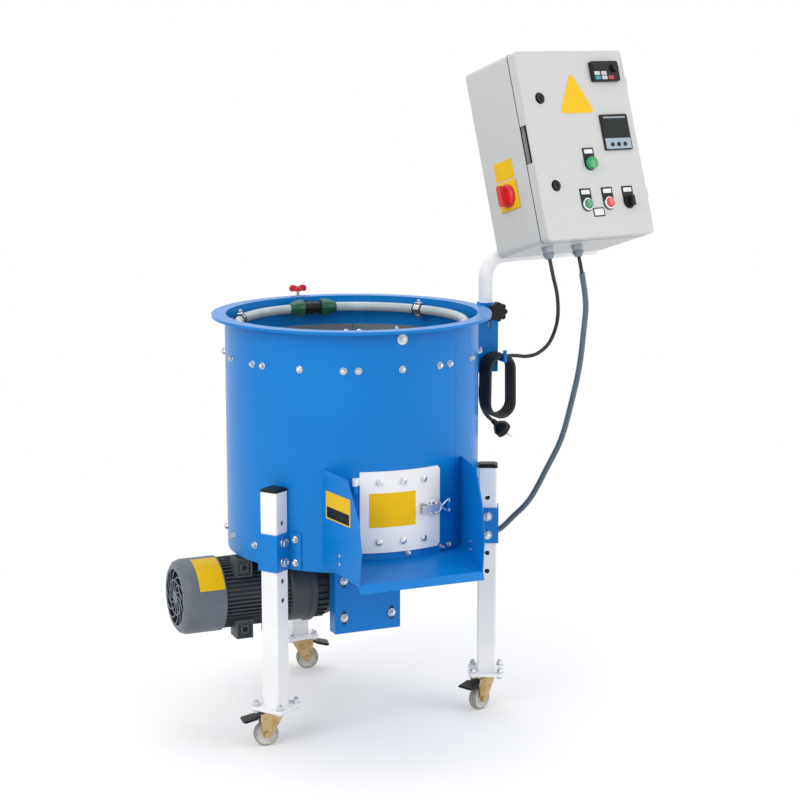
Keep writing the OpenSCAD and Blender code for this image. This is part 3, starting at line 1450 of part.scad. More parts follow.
// Least gap between loops, measured on the path's points.
hank_gap = min([
    for (i = [0 : len(hank_path) - 1], j = [i + 8 : 1 : len(hank_path) - 1])
        norm(hank_path[i] - hank_path[j])
]) - lead_d;
echo(hank_gap = hank_gap);

module mains_lead() color(black) machine() tube(spline(lead_route, 5), lead_d, 8, [0, 1, 0]);

module mains_hank() color(black) machine() tube(hank_path, lead_d, 6, [0, 1, 0]);

module mains_plug() {
    end = hank_path[len(hank_path) - 1];
    color(black) machine() translate(end) rotate([0, plug_turn, 0]) translate([0, 0, 0.4]) {
        cylinder(d1 = lead_d + 3, d2 = lead_d + 6, h = 16);
        translate([0, 0, 15]) cylinder(d1 = 22, d2 = 36, h = 10);
        translate([0, 0, 25]) cylinder(d = 36, h = 12);
        for (y = [-9.5, 9.5])
            translate([0, y, 36]) cylinder(d = 4.8, h = 19);
    }
}

module motor_conduit() {
    color(black) machine() tube(spline(cable_route, 3), lead_d, 8, [0, 1, 0]);
    color([0.55, 0.60, 0.66]) machine() tube(spline(conduit_route, 4), conduit_d, 8, [0, 1, 0]);
}

drum_shell();
drum_floor();
liner_panels();
liner_bolts();
spray_ring();
hose_coupling();
hose_clamps();
valve_body();
valve_handle();
discharge_chute();
door_hinges();
latch_keeper();
discharge_door();
door_facing();
latch_base();
latch_lever();
latch_bail();
legs();
leg_caps();
leg_brackets();
frame_bolts();
castor_plates();
castor_fork_left();
castor_fork_right();
castor_fork_rear();
castor_wheel_left();
castor_wheel_right();
castor_wheel_rear();
castor_pedal_left();
castor_pedal_right();
castor_pedal_rear();
gearbox_bracket();
gearbox_housing();
shaft_bearing();
drive_shaft();
rotor_disc();
motor_frame();
motor_shaft();
cooling_fan();
fan_cowl();
terminal_box();
pole_bracket();
clamp_knob();
pole();
box_body();
box_door();
lock_upper();
lock_lower();
panel_displays();
panel_fittings();
start_button();
stop_button();
selector_knob();
box_fittings();
main_switch();
mounting_plate();
mains_lead();
mains_hank();
mains_plug();
motor_conduit();
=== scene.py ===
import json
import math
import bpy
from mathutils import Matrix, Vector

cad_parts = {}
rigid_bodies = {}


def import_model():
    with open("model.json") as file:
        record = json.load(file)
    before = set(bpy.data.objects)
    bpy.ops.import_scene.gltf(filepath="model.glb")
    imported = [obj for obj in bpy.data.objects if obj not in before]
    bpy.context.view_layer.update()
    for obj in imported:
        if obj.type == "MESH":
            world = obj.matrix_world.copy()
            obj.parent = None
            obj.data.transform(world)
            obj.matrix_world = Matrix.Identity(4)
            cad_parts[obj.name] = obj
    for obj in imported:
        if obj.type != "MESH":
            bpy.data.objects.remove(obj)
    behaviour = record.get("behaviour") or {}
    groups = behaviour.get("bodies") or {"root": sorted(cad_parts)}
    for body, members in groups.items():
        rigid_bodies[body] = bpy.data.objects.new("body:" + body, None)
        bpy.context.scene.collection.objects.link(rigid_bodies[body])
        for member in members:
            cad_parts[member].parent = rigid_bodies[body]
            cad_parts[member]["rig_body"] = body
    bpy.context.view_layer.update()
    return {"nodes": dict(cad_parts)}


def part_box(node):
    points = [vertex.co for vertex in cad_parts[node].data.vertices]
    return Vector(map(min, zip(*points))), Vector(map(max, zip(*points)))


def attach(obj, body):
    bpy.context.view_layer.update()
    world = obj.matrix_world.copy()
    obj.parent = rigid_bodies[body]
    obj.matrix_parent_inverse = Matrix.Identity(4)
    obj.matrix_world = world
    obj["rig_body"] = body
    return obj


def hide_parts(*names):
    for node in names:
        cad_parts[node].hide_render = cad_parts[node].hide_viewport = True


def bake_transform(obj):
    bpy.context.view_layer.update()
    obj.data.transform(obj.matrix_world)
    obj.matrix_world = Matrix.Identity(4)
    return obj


bl_info = {
    "name": "Walnut Huller",
    "version": (1, 0, 0),
    "blender": (4, 5, 0),
    "location": "View3D > Sidebar > Huller",
    "description": "Dresses the frame of a walnut huller and sets up its studio",
    "category": "Object",
}

import bmesh
import bpy
from bpy.props import FloatProperty, FloatVectorProperty, IntProperty, PointerProperty
from mathutils import Matrix, Vector

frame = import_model()

MM = 0.001
# The drum's axis in the row frame, in millimetres from the middle of the machine.
DRUM_AT = Vector((-140.757, 3.5, 0.0))
# Radii of the drum and of the door's face, and radius and height of the spray ring, in millimetres.
DRUM_R, DOOR_OUT, RING_R, RING_Z = 265.0, 268.3, 236.5, 836.0
# The drum's welded seam, turned from the front, and its distance from the middle along its own normal.
SEAM_TURN = math.radians(30.3)
SEAM_SHIFT = (DRUM_AT.x * math.cos(SEAM_TURN) + DRUM_AT.y * math.sin(SEAM_TURN)) * MM
# Edges of the seam's line, where it starts along x, and how dark it is.
SEAM_EDGES, SEAM_FROM, SEAM_DARK, SEAM_GAIN = (0.0016, 0.0004), (-0.16, -0.14), 0.55, 0.35


def at(x, y, z):
    """A point given in millimetres about the drum's axis, in the row frame in metres."""
    return (Vector((x, y, z)) + DRUM_AT) * MM


def turned(x, y, angle):
    """A flat point turned about the origin by an angle in degrees."""
    c, s = math.cos(math.radians(angle)), math.sin(math.radians(angle))
    return x * c - y * s, x * s + y * c


def colour_property(name, description, default):
    return FloatVectorProperty(
        name=name, description=description, default=default, size=3, min=0.0, max=1.0, subtype="COLOR"
    )


def length_property(name, description, default):
    return FloatProperty(name=name, description=description, default=default, min=0.0, unit="LENGTH")


class HullerColours(bpy.types.PropertyGroup):
    """Colours of the machine's finishes."""

    drum: colour_property("Drum", "Blue paint of the drum, chute and brackets", (0.002, 0.190, 0.58))
    legs: colour_property("Legs", "White paint of the legs, door and pole", (0.87, 0.87, 0.88))
    cabinet: colour_property("Cabinet", "Grey powder coat of the control box", (0.56, 0.565, 0.56))
    motor: colour_property("Motor", "Grey-blue paint of the motor and gearbox", (0.052, 0.060, 0.069))
    cowl: colour_property("Fan cowl", "Grey-blue paint of the sheet-metal fan cowl", (0.125, 0.148, 0.178))
    hose: colour_property("Hose", "Grey hose of the spray ring", (0.42, 0.48, 0.52))
    conduit: colour_property("Conduit", "Grey conduit of the motor cable", (0.085, 0.125, 0.16))
    nuts: colour_property("Coupling nuts", "Green nuts of the hose coupling", (0.0, 0.085, 0.045))
    marker: colour_property("Marker", "Yellow of the blank stickers and plates", (0.82, 0.50, 0.002))
    red: colour_property("Red", "Red of the stop button, valve handle and main switch", (0.62, 0.012, 0.014))
    green: colour_property("Green", "Green of the start button and the lamp", (0.0, 0.23, 0.075))


class HullerSizes(bpy.types.PropertyGroup):
    """Sizes of the dressing."""

    lead: length_property("Lead", "Diameter of the mains lead", 0.008)
    conduit: length_property("Conduit", "Outer diameter of the motor conduit", 0.013)
    rib_pitch: length_property("Rib pitch", "Distance between the conduit's ribs", 0.0042)
    sticker: length_property("Sticker", "Thickness of the stickers", 0.0003)
    hank_loops: IntProperty(
        name="Hank loops", description="Loops of the mains lead on the hook", default=5, min=3, max=5
    )


def sizes():
    return bpy.context.scene.huller_sizes


def colours():
    return bpy.context.scene.huller_colours


class Value:
    """A shader socket that takes part in Python expressions."""

    def __init__(self, graph, socket):
        self.graph = graph
        self.socket = socket

    def _math(self, operation, first, second):
        return self.graph.node("Math", {"operation": operation}, {0: first, 1: second})

    def __add__(self, other):
        return self._math("ADD", self, other)

    def __radd__(self, other):
        return self._math("ADD", other, self)

    def __sub__(self, other):
        return self._math("SUBTRACT", self, other)

    def __mul__(self, other):
        return self._math("MULTIPLY", self, other)

    def __rmul__(self, other):
        return self._math("MULTIPLY", other, self)


class Graph:
    """A node tree that is built node by node."""

    PREFIX = {}

    def __init__(self, tree):
        self.tree = tree
        tree.nodes.clear()

    def node(self, kind, settings=(), sockets=(), output=0):
        """Adds a node: its settings first, then the values or links of its sockets."""
        made = self.tree.nodes.new(self.PREFIX.get(kind, "ShaderNode") + kind)
        for key, value in dict(settings).items():
            setattr(made, key, value)
        for key, value in dict(sockets).items():
            self.feed(made.inputs[key], value)
        return Value(self, made.outputs[output]) if made.outputs else made

    def feed(self, socket, value):
        for one in value if isinstance(value, list) else [value]:
            if isinstance(one, Value):
                self.tree.links.new(one.socket, socket)
            else:
                socket.default_value = one


class Finish(Graph):
    """A material with one Principled shader on Object coordinates."""

    def __init__(self, name):
        self.material = bpy.data.materials.new(name)
        self.material.use_nodes = True
        super().__init__(self.material.node_tree)
        body = self.node("BsdfPrincipled")
        self.shader = body.socket.node
        self.output = self.node("OutputMaterial", sockets={0: body})
        self.place = self.node("TexCoord", output="Object")

    def noise(self, scale, detail, stretch=(1, 1, 1)):
        place = self.node("Mapping", sockets={"Vector": self.place, "Scale": stretch})
        return self.node("TexNoise", sockets={"Vector": place, "Scale": scale, "Detail": detail})

    def axis(self, name):
        return self.node("SeparateXYZ", sockets={0: self.place}, output=name)

    def mask(self, value, low, high):
        """0 below low, 1 above high, smooth between them; low may be the greater."""
        return self.node(
            "MapRange", {"interpolation_type": "SMOOTHSTEP"}, {0: value, 1: low, 2: high, 3: 0.0, 4: 1.0}
        )

    def mix(self, factor, first, second):
        return self.node("Mix", {"data_type": "RGBA"}, {0: factor, 6: first, 7: second}, output=2)

    def tone(self, value, low, high, colour, dark, light):
        """A colour between two gains of it, as a value goes from low to high."""
        return self.mix(self.mask(value, low, high), rgba(colour, dark), rgba(colour, light))

    def bump(self, height, strength, distance):
        made = self.node("Bump", sockets={"Strength": strength, "Distance": distance, "Height": height})
        self.feed(self.shader.inputs["Normal"], made)

    def set(self, **sockets):
        """Sets the shader's sockets, named with _ for a space."""
        for key, value in sockets.items():
            self.feed(self.shader.inputs[key.replace("_", " ")], value)
        return self.material


def rgba(colour, gain=1.0):
    return tuple(min(1.0, c * gain) for c in colour) + (1.0,)


def paint(name, colour, rough, gloss=0.5, seam=None):
    """Sprayed paint: orange peel, slow changes of tone, and a welded seam down the drum where asked."""
    made = Finish(name)
    cloud = made.noise(5.0, 3.0)
    tone = made.tone(cloud, 0.30, 0.72, colour, 0.95, 1.04)
    if seam is not None:
        away = made.axis("X") * math.cos(seam) + made.axis("Y") * math.sin(seam) - SEAM_SHIFT
        line = made.mask(made.node("Math", {"operation": "ABSOLUTE"}, {0: away}), *SEAM_EDGES)
        shown = line * made.mask(made.axis("X"), *SEAM_FROM) * SEAM_DARK
        tone = made.mix(shown, tone, rgba(colour, SEAM_GAIN))
    wipe = made.noise(24.0, 3.0, (1, 1, 0.35))
    made.bump(made.noise(700.0, 1.0), 0.05, 0.0006)
    return made.set(Base_Color=tone, Roughness=rough + 0.06 * (wipe - 0.5), Specular_IOR_Level=gloss)


def powder_coat(name, colour):
    """Fine textured powder coat of the control box."""
    made = Finish(name)
    cloud = made.noise(4.0, 2.0)
    grain = made.noise(1100.0, 2.0)
    tone = made.tone(grain, 0.35, 0.68, colour, 0.93, 1.04)
    made.bump(grain, 0.16, 0.0005)
    return made.set(Base_Color=tone, Roughness=0.42 + 0.08 * (cloud - 0.5))


def cast_paint(name, colour):
    """Paint over a casting: a rougher skin with random patches of grey dust."""
    made = Finish(name)
    cloud = made.noise(9.0, 4.0)
    cast = made.noise(320.0, 3.0)
    tone = made.tone(cloud, 0.35, 0.75, colour, 0.85, 1.15)
    tone = made.mix(made.mask(made.noise(60.0, 4.0), 0.60, 0.82) * 0.25, tone, (0.20, 0.20, 0.19, 1.0))
    made.bump(cast, 0.12, 0.0006)
    return made.set(Base_Color=tone, Roughness=0.46 + 0.16 * (cloud - 0.5))


def metal(name, colour, rough, scale, stretch=(1, 1, 1), stain=0.15):
    """Metal with brush marks along one way and a slow change of tone."""
    made = Finish(name)
    brush = made.noise(scale, 4.0, stretch)
    cloud = made.noise(12.0, 3.0)
    tone = made.mix(made.mask(cloud, 0.35, 0.75) * stain, rgba(colour), rgba(colour, 0.45))
    made.bump(brush, 0.05, 0.0003)
    return made.set(Base_Color=tone, Metallic=1.0, Roughness=rough + 0.20 * (brush - 0.5))


def passivated(name):
    """Yellow passivated zinc: gold with patches that run to green and rose."""
    made = Finish(name)
    patch = made.noise(45.0, 3.0)
    tone = made.mix(made.mask(patch, 0.35, 0.55), (0.44, 0.29, 0.12, 1), (0.56, 0.43, 0.22, 1))
    tone = made.mix(made.mask(patch, 0.58, 0.72) * 0.6, tone, (0.40, 0.30, 0.24, 1))
    made.bump(made.noise(500.0, 2.0), 0.05, 0.0003)
    return made.set(Base_Color=tone, Metallic=1.0, Roughness=0.30 + 0.12 * (patch - 0.5))


def plastic(name, colour, rough, grain=600.0, depth=0.08, coat=0.0, tones=(0.90, 1.12), gloss=0.5):
    """Moulded plastic or rubber with a fine grain."""
    made = Finish(name)
    cloud = made.noise(30.0, 3.0)
    tone = made.tone(cloud, 0.30, 0.75, colour, *tones)
    made.bump(made.noise(grain, 2.0), depth, 0.0004)
    made.set(Base_Color=tone, Roughness=rough + 0.12 * (cloud - 0.5), Coat_Weight=coat)
    return made.set(Specular_IOR_Level=gloss)


def lens(name, colour, glow=0.0):
    """Clear coloured plastic of a lamp or a button's cap."""
    made = Finish(name)
    cloud = made.noise(70.0, 2.0)
    tone = made.tone(cloud, 0.3, 0.7, colour, 0.85, 1.2)
    made.set(Base_Color=tone, Roughness=0.14 + 0.05 * cloud, Coat_Weight=0.6)
    return made.set(Emission_Color=tone, Emission_Strength=glow)


FINISHES = {}


def finish(name):
    return FINISHES[name]


def make_finishes():
    """Makes every finish of the machine once, from the panel's colours."""
    c = colours()
    label = dict(grain=300.0, depth=0.03)
    table = {
        paint: dict(
            drum_blue=dict(colour=c.drum, rough=0.30, gloss=0.22),
            shell_blue=dict(colour=c.drum, rough=0.28, gloss=0.22, seam=SEAM_TURN),
            leg_white=dict(colour=c.legs, rough=0.32),
        ),
        powder_coat: dict(cabinet_grey=dict(colour=c.cabinet)),
        cast_paint: dict(motor_grey=dict(colour=c.motor), cowl_grey=dict(colour=c.cowl)),
        metal: dict(
            liner_steel=dict(colour=(0.60, 0.62, 0.64), rough=0.30, scale=140.0, stretch=(1, 1, 18)),
            bolt_steel=dict(colour=(0.66, 0.67, 0.69), rough=0.24, scale=400.0),
            shaft_steel=dict(colour=(0.52, 0.53, 0.55), rough=0.28, scale=300.0),
            rotor_steel=dict(colour=(0.55, 0.56, 0.57), rough=0.34, scale=90.0, stain=0.3),
            latch_zinc=dict(colour=(0.86, 0.87, 0.88), rough=0.40, scale=350.0, stain=0.1),
            brass=dict(colour=(0.70, 0.66, 0.56), rough=0.26, scale=300.0),
        ),
        passivated: dict(castor_gold={}),
        plastic: dict(
            castor_grey=dict(colour=(0.60, 0.59, 0.56), rough=0.36),
            tread_grey=dict(colour=(0.30, 0.28, 0.25), rough=0.5),
            black_plastic=dict(colour=(0.011, 0.011, 0.012), rough=0.38, gloss=0.20),
            black_rubber=dict(colour=(0.016, 0.016, 0.017), rough=0.55, grain=900.0),
            gland_grey=dict(colour=(0.42, 0.44, 0.46), rough=0.40),
            gland_dark=dict(colour=(0.22, 0.25, 0.30), rough=0.36),
            hose_grey=dict(colour=c.hose, rough=0.30, grain=250.0, depth=0.06, coat=0.2),
            conduit_grey=dict(colour=c.conduit, rough=0.42),
            nut_green=dict(colour=c.nuts, rough=0.34),
            valve_red=dict(colour=c.red, rough=0.30, coat=0.3),
            marker_yellow=dict(colour=c.marker, rough=0.36, tones=(0.97, 1.02), gloss=0.2, **label),
            label_black=dict(colour=(0.010, 0.010, 0.010), rough=0.40, gloss=0.20, **label),
            label_white=dict(colour=(0.72, 0.73, 0.74), rough=0.38, **label),
            display_blue=dict(colour=(0.30, 0.38, 0.46), rough=0.30, grain=500.0, depth=0.05),
            display_glass=dict(colour=(0.006, 0.009, 0.011), rough=0.12, grain=300.0, depth=0.0, gloss=0.12),
            key_teal=dict(colour=(0.03, 0.26, 0.30), rough=0.40),
            key_white=dict(colour=(0.55, 0.57, 0.58), rough=0.40),
            key_red=dict(colour=(0.42, 0.03, 0.03), rough=0.40),
            gear_grey=dict(colour=(0.30, 0.31, 0.32), rough=0.45),
        ),
        lens: dict(
            button_red=dict(colour=c.red),
            button_green=dict(colour=c.green),
            lamp_green=dict(colour=c.green, glow=0.25),
        ),
    }
    for make, finishes in table.items():
        for name, values in finishes.items():
            FINISHES[name] = make(name, **values)


# Routes of the leads, in millimetres about the drum's axis.
LEAD_ROUTE = (
    (407.8, -102.6, 966.4), (411, -116, 925), (424, -112, 880), (430, -102, 828), (420, -90, 782),
    (398, -80, 757), (372, -75, 750), (346, -73, 753), (325.6, -73, 753.5),
)
CABLE_ROUTE = ((487.6, -84.1, 966.4), (489, -91, 945), (490.4, -96.3, 926.4))
CONDUIT_ROUTE = (
    (490.4, -96.5, 925.8), (499, -100, 860), (498, -94, 796), (494, -85, 720), (482, -75, 643),
    (466, -60, 560), (438, -45, 491), (410, -25, 424), (381, -5, 384), (350, 20, 347), (300, 50, 335),
    (230, 85, 330), (120, 125, 318), (10, 140, 296), (-50, 133, 275), (-87.4, 132.2, 273),
)
HANK_TAIL = ((0, 1, -10), (1, 3, -28), (4.5, 5, -45), (11, 6, -60), (20.5, 6, -73), (32, 6, -83))
HANK_HALF_W = 30.0
HANK_RUN = 72.0
HOOK = Vector((317.0, -73.0, 753.5))
LOOP_STEPS, LOOP_GAP = 48, 1.0


def smooth(route, steps):
    """A Catmull-Rom curve through a route, with a number of steps for each stretch."""
    p = [Vector(q) for q in route]
    last = len(p) - 1
    line = []
    for i in range(last):
        a, b, c, d = p[max(i - 1, 0)], p[i], p[i + 1], p[min(i + 2, last)]
        for k in range(steps):
            t = k / steps
            square, cube = 2 * a - 5 * b + 4 * c - d, 3 * b - a - 3 * c + d
            line.append(0.5 * (2 * b + (c - a) * t + square * t**2 + cube * t**3))
    return line + [p[last]]


def loop_point(d):
    """A point on one loop of the hank, two straight runs and two bends, at a distance from its top."""
    w, half, bend = HANK_HALF_W, HANK_RUN / 2, math.pi * HANK_HALF_W / 2
    turn = math.pi / 2 / bend
    if d < bend:
        angle, shift = math.pi / 2 + turn * d, half
    elif d < bend + HANK_RUN:
        return -w, half + bend - d
    elif d < 3 * bend + HANK_RUN:
        angle, shift = math.pi / 2 + turn * (d - HANK_RUN), -half
    elif d < 3 * bend + 2 * HANK_RUN:
        return w, d - 3 * bend - 1.5 * HANK_RUN
    else:
        angle, shift = math.pi / 2 + turn * (d - 2 * HANK_RUN), half
    return w * math.cos(angle), w * math.sin(angle) + shift


def hank_line(loops, pitch):
    """The loops on the hook and the tail down to the plug."""
    around = 2 * math.pi * HANK_HALF_W + 2 * HANK_RUN
    middle = HOOK.z - HANK_HALF_W - HANK_RUN / 2
    line = []
    for k in range(LOOP_STEPS * loops + LOOP_STEPS // 4 + 1):
        x, z = loop_point(around * (k % LOOP_STEPS) / LOOP_STEPS)
        line.append(Vector((HOOK.x + x, HOOK.y + pitch * k / LOOP_STEPS, middle + z)))
    end = line[-1]
    tail = smooth([end] + [end + Vector(t) for t in HANK_TAIL], steps=4)
    return line + tail[1:]


def in_row(line):
    return [at(*p) for p in line]


def length_of(line):
    return sum((b - a).length for a, b in zip(line, line[1:]))


def skin(bm, rows, round_rows=True, meet=False):
    """Faces between rows of corners; a row may close round, and the last row may meet the first."""
    made = []
    for one, two in zip(rows, rows[1:] + (rows[:1] if meet else [])):
        for k in range(max(len(one), len(two)) - (not round_rows)):
            ends = [row[i % len(row)] for row, i in ((one, k), (one, k + 1), (two, k + 1), (two, k))]
            made.append(bm.faces.new(list(dict.fromkeys(ends))))
    return made


def tube_mesh(name, line, radius, sides=12):
    """A closed tube along a line; radius is a number or a function of the distance along it."""
    radius_at = radius if callable(radius) else lambda d: radius
    bm = bmesh.new()
    rings, gone = [], 0.0
    normal = Vector((0, 1, 0))
    for i, p in enumerate(line):
        ahead = (line[min(i + 1, len(line) - 1)] - line[max(i - 1, 0)]).normalized()
        normal = (normal - ahead * normal.dot(ahead)).normalized()
        across = ahead.cross(normal)
        if i:
            gone += (p - line[i - 1]).length
        r = radius_at(gone)
        ring = []
        for k in range(sides):
            a = 2 * math.pi * k / sides
            ring.append(bm.verts.new(p + r * (math.cos(a) * normal + math.sin(a) * across)))
        rings.append(ring)
    for face in skin(bm, rings):
        face.smooth = True
    bm.faces.new(list(reversed(rings[0])))
    bm.faces.new(rings[-1])
    return finished_mesh(name, bm)


def finished_mesh(name, bm):
    mesh = bpy.data.meshes.new(name)
    bmesh.ops.recalc_face_normals(bm, faces=bm.faces)
    bm.to_mesh(mesh)
    bm.free()
    return mesh


def show(name, mesh, *finishes):
    """A new object at the origin with its finishes."""
    made = bpy.data.objects.new(name, mesh)
    bpy.context.scene.collection.objects.link(made)
    for f in finishes:
        mesh.materials.append(finish(f))
    return made


# The least fold of a sharp edge, on copies of CAD solids and on new solids, and the fold of an open edge.
CAD_SHARP, SHARP, FOLDED = math.radians(32), math.radians(38), 3.2


def settled(name, bm, body, finishes, stands_for=(), sharp=CAD_SHARP):
    """Shows a mesh on a body with its sharp edges kept, in the place of CAD nodes where any are named."""
    for edge in bm.edges:
        edge.smooth = edge.calc_face_angle(FOLDED) < sharp
    made = show(name, finished_mesh(name, bm), *finishes)
    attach(made, body)
    if stands_for:
        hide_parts(*stands_for)
    return made


def shade_smooth(bm):
    for face in bm.faces:
        face.smooth = True


def resampled(line, step):
    """Points along a line at an even step, for ribs that follow it."""
    out, need = [line[0]], step
    for a, b in zip(line, line[1:]):
        run = (b - a).length
        while run and need <= run:
            out.append(a.lerp(b, need / run))
            need += step
        need -= run
    return out


class HULLER_OT_mains_lead(bpy.types.Operator):
    """The mains lead from its gland to the hook, its hank and the tail to the plug, as one cord"""

    bl_idname = "huller.mains_lead"
    bl_label = "Mains Lead"

    PLUG_WAY = (Vector(HANK_TAIL[-1]) - Vector(HANK_TAIL[-2])).normalized()
    PINS_FROM = 37.8

    def execute(self, context):
        s = sizes()
        d = s.lead
        line = in_row(smooth(LEAD_ROUTE, steps=8) + hank_line(s.hank_loops, d / MM + LOOP_GAP))
        lead = show("mains_cord", tube_mesh("mains_cord", line, d / 2), "black_rubber")
        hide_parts("mains_lead", "mains_hank")
        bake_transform(lead)
        end = in_mm(line[-1])
        plug = split_finish(
            "mains_plug", "mains_plug_pinned", ("black_plastic", "bolt_steel"),
            lambda low, high: int(((low + high) / 2 - end).dot(self.PLUG_WAY) > self.PINS_FROM), whole=False,
        )
        length_of(line)
        return {"FINISHED"}


class HULLER_OT_motor_conduit(bpy.types.Operator):
    """The motor cable: a short bare stretch below the gland, then ribbed conduit to the terminal box"""

    bl_idname = "huller.motor_conduit"
    bl_label = "Motor Conduit"

    RIB_DEPTH, RIB_POINTS = 0.0007, 4

    def execute(self, context):
        s = sizes()
        cable_line = in_row(smooth(CABLE_ROUTE, steps=6))
        cable = show("motor_cable", tube_mesh("motor_cable", cable_line, s.lead / 2), "black_rubber")
        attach(cable, "control")
        whole = in_row(smooth(CONDUIT_ROUTE, steps=12))
        line = resampled(whole, s.rib_pitch / self.RIB_POINTS) + [whole[-1]]

        def ribbed(gone):
            return s.conduit / 2 - self.RIB_DEPTH * (0.5 - 0.5 * math.cos(2 * math.pi * gone / s.rib_pitch))

        conduit = show("motor_conduit_ribbed", tube_mesh("motor_conduit", line, ribbed), "conduit_grey")
        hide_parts("motor_conduit")
        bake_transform(conduit)
        length_of(line)
        return {"FINISHED"}


# The finish of each CAD node that is shown as it is.
NODE_FINISH = {
    "drum_blue": (
        "drum_floor", "discharge_chute", "door_hinges", "latch_keeper", "leg_brackets", "gearbox_bracket",
    ),
    "shell_blue": ("drum_shell",),
    "leg_white": ("discharge_door", "pole"),
    "motor_grey": ("gearbox_housing", "terminal_box"),
    "liner_steel": ("liner_panels",),
    "bolt_steel": ("hose_clamps",),
    "shaft_steel": ("shaft_bearing", "drive_shaft", "motor_shaft"),
    "rotor_steel": ("rotor_disc",),
    "latch_zinc": ("latch_base", "latch_lever", "castor_plates"),
    "gear_grey": ("mounting_plate",),
    "castor_gold": ("castor_fork_left", "castor_fork_right", "castor_fork_rear"),
    "black_plastic": (
        "leg_caps", "castor_pedal_left", "castor_pedal_right", "castor_pedal_rear", "cooling_fan",
        "clamp_knob", "lock_upper", "lock_lower", "selector_knob",
    ),
    "hose_grey": ("spray_ring",),
    "brass": ("valve_body",),
}


# Corners that are nearer than this are one, and faces that fold less than this are one flat face.
SAME, FLAT_FOLD = 1e-6, math.radians(0.5)


def merged(node):
    """A copy of a CAD node's mesh with its corners merged."""
    bm = bmesh.new()
    bm.from_mesh(frame["nodes"][node].data)
    bmesh.ops.remove_doubles(bm, verts=bm.verts, dist=SAME)
    return bm


def make_flats_whole(bm):
    bmesh.ops.dissolve_limit(bm, angle_limit=FLAT_FOLD, verts=bm.verts, edges=bm.edges)


def gathered(faces, beside):
    """Groups of faces that touch; beside gives the faces next to one."""
    left, found = set(faces), []
    for first in faces:
        if first not in left:
            continue
        left.remove(first)
        stack, group = [first], []
        while stack:
            group.append(stack.pop())
            near = left & beside(group[-1])
            left -= near
            stack += near
        found.append(group)
    return found


def islands(bm):
    """The separate solids in a mesh, each as a list of faces."""
    return gathered(list(bm.faces), lambda face: {f for e in face.edges for f in e.link_faces})


def in_mm(point):
    """A point of the row frame in millimetres about the drum's axis."""
    return Vector(point) / MM - DRUM_AT


def corners(faces):
    """The corners of some faces, in millimetres about the drum's axis."""
    return [in_mm(v.co) for v in {v for f in faces for v in f.verts}]


def spread(points):
    """Lowest and highest corners of some points."""
    return [Vector([pick(p[i] for p in points) for i in range(3)]) for pick in (min, max)]


def split_finish(node, name, finishes, pick, whole=True):
    """Shows a CAD node by a copy in more finishes; pick gives the place of one from a solid's box."""
    bm = merged(node)
    for group in islands(bm) if whole else [[f] for f in bm.faces]:
        place = pick(*spread(corners(group)))
        for face in group:
            face.material_index = place
            face.smooth = True
    return replaced(node, name, bm, finishes)


def replaced(node, name, bm, finishes):
    """Shows a mesh in the place of a CAD node, on its body."""
    return settled(name, bm, frame["nodes"][node]["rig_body"], finishes, (node,))


def cut_tube(bm, x, way):
    """Cuts a tube off past a place along x and closes its wall there."""
    cut = bmesh.ops.bisect_plane(
        bm, geom=[*bm.verts, *bm.edges, *bm.faces], dist=SAME / 10, plane_co=at(x, 0, 0),
        plane_no=(way, 0, 0), clear_outer=True,
    )["geom_cut"]
    bmesh.ops.bridge_loops(bm, edges=[e for e in cut if isinstance(e, bmesh.types.BMEdge)])


class HULLER_OT_frame_finishes(bpy.types.Operator):
    """The finish of every CAD piece, with copies of the legs, the wheels and the pole's bracket"""

    bl_idname = "huller.frame_finishes"
    bl_label = "Frame Finishes"

    # The tread's start as a part of the wheel's radius, and the greatest size of a bolt in millimetres.
    TREAD_FROM, BOLT_UNDER = 0.93, 30.0
    # Setting holes of the legs, in metres: the height of a wall's faces, how near two holes are level, the
    # greatest depth of a face in the wall, and the slopes of the faces round a hole.
    WALL_H, LEVEL, WALL_D, SLOPES = 0.014, 0.010, 0.012, (0.02, 0.9995)

    def execute(self, context):
        for name, nodes in NODE_FINISH.items():
            for node in nodes:
                slots = frame["nodes"][node].data.materials
                slots.clear()
                slots.append(finish(name))
        self.five_hole_legs()
        for side in ("left", "right", "rear"):
            wheel = "castor_wheel_" + side
            low, high = map(in_mm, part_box(wheel))
            middle, tread = (low + high) / 2, self.TREAD_FROM * (high.z - low.z) / 2
            split_finish(
                wheel, wheel + "_shod", ("castor_grey", "tread_grey"),
                lambda a, b: int(((a + b) / 2 - middle).length > tread), whole=False,
            )
        split_finish(
            "pole_bracket", "pole_bracket_painted", ("drum_blue", "bolt_steel"),
            lambda low, high: int(max(high - low) < self.BOLT_UNDER),
        )
        return {"FINISHED"}

    def cross_holes(self, bm):
        """The walls of the level holes through upright tubes, as lists of faces."""
        bm.normal_update()
        low, high = self.SLOPES
        sloped = {v for f in bm.faces if low < abs(f.normal.z) < high for v in f.verts}
        walls = []
        for face in bm.faces:
            heights = [v.co.z for v in face.verts]
            if max(heights) - min(heights) < self.WALL_H and all(v in sloped for v in face.verts):
                walls.append(face)
        return gathered(walls, lambda face: {f for v in face.verts for f in v.link_faces})

    def five_hole_legs(self):
        """Shows the legs by a copy whose lowest and highest setting holes are closed."""
        bm = merged("legs")
        make_flats_whole(bm)
        holes = []
        for hole in self.cross_holes(bm):
            holes.append((hole, sum(f.calc_center_median().z for f in hole) / len(hole)))
        ends = [pick(z for hole, z in holes) for pick in (min, max)]
        shut = [f for hole, z in holes if min(abs(z - end) for end in ends) < self.LEVEL for f in hole]
        bmesh.ops.delete(bm, geom=shut, context="FACES")
        bmesh.ops.holes_fill(bm, edges=[e for e in bm.edges if e.is_boundary])
        for face in bm.faces:
            low, high = spread([v.co for v in face.verts])
            face.smooth = (high - low).xy.length < self.WALL_D
        replaced("legs", "legs_painted", bm, ("leg_white",))


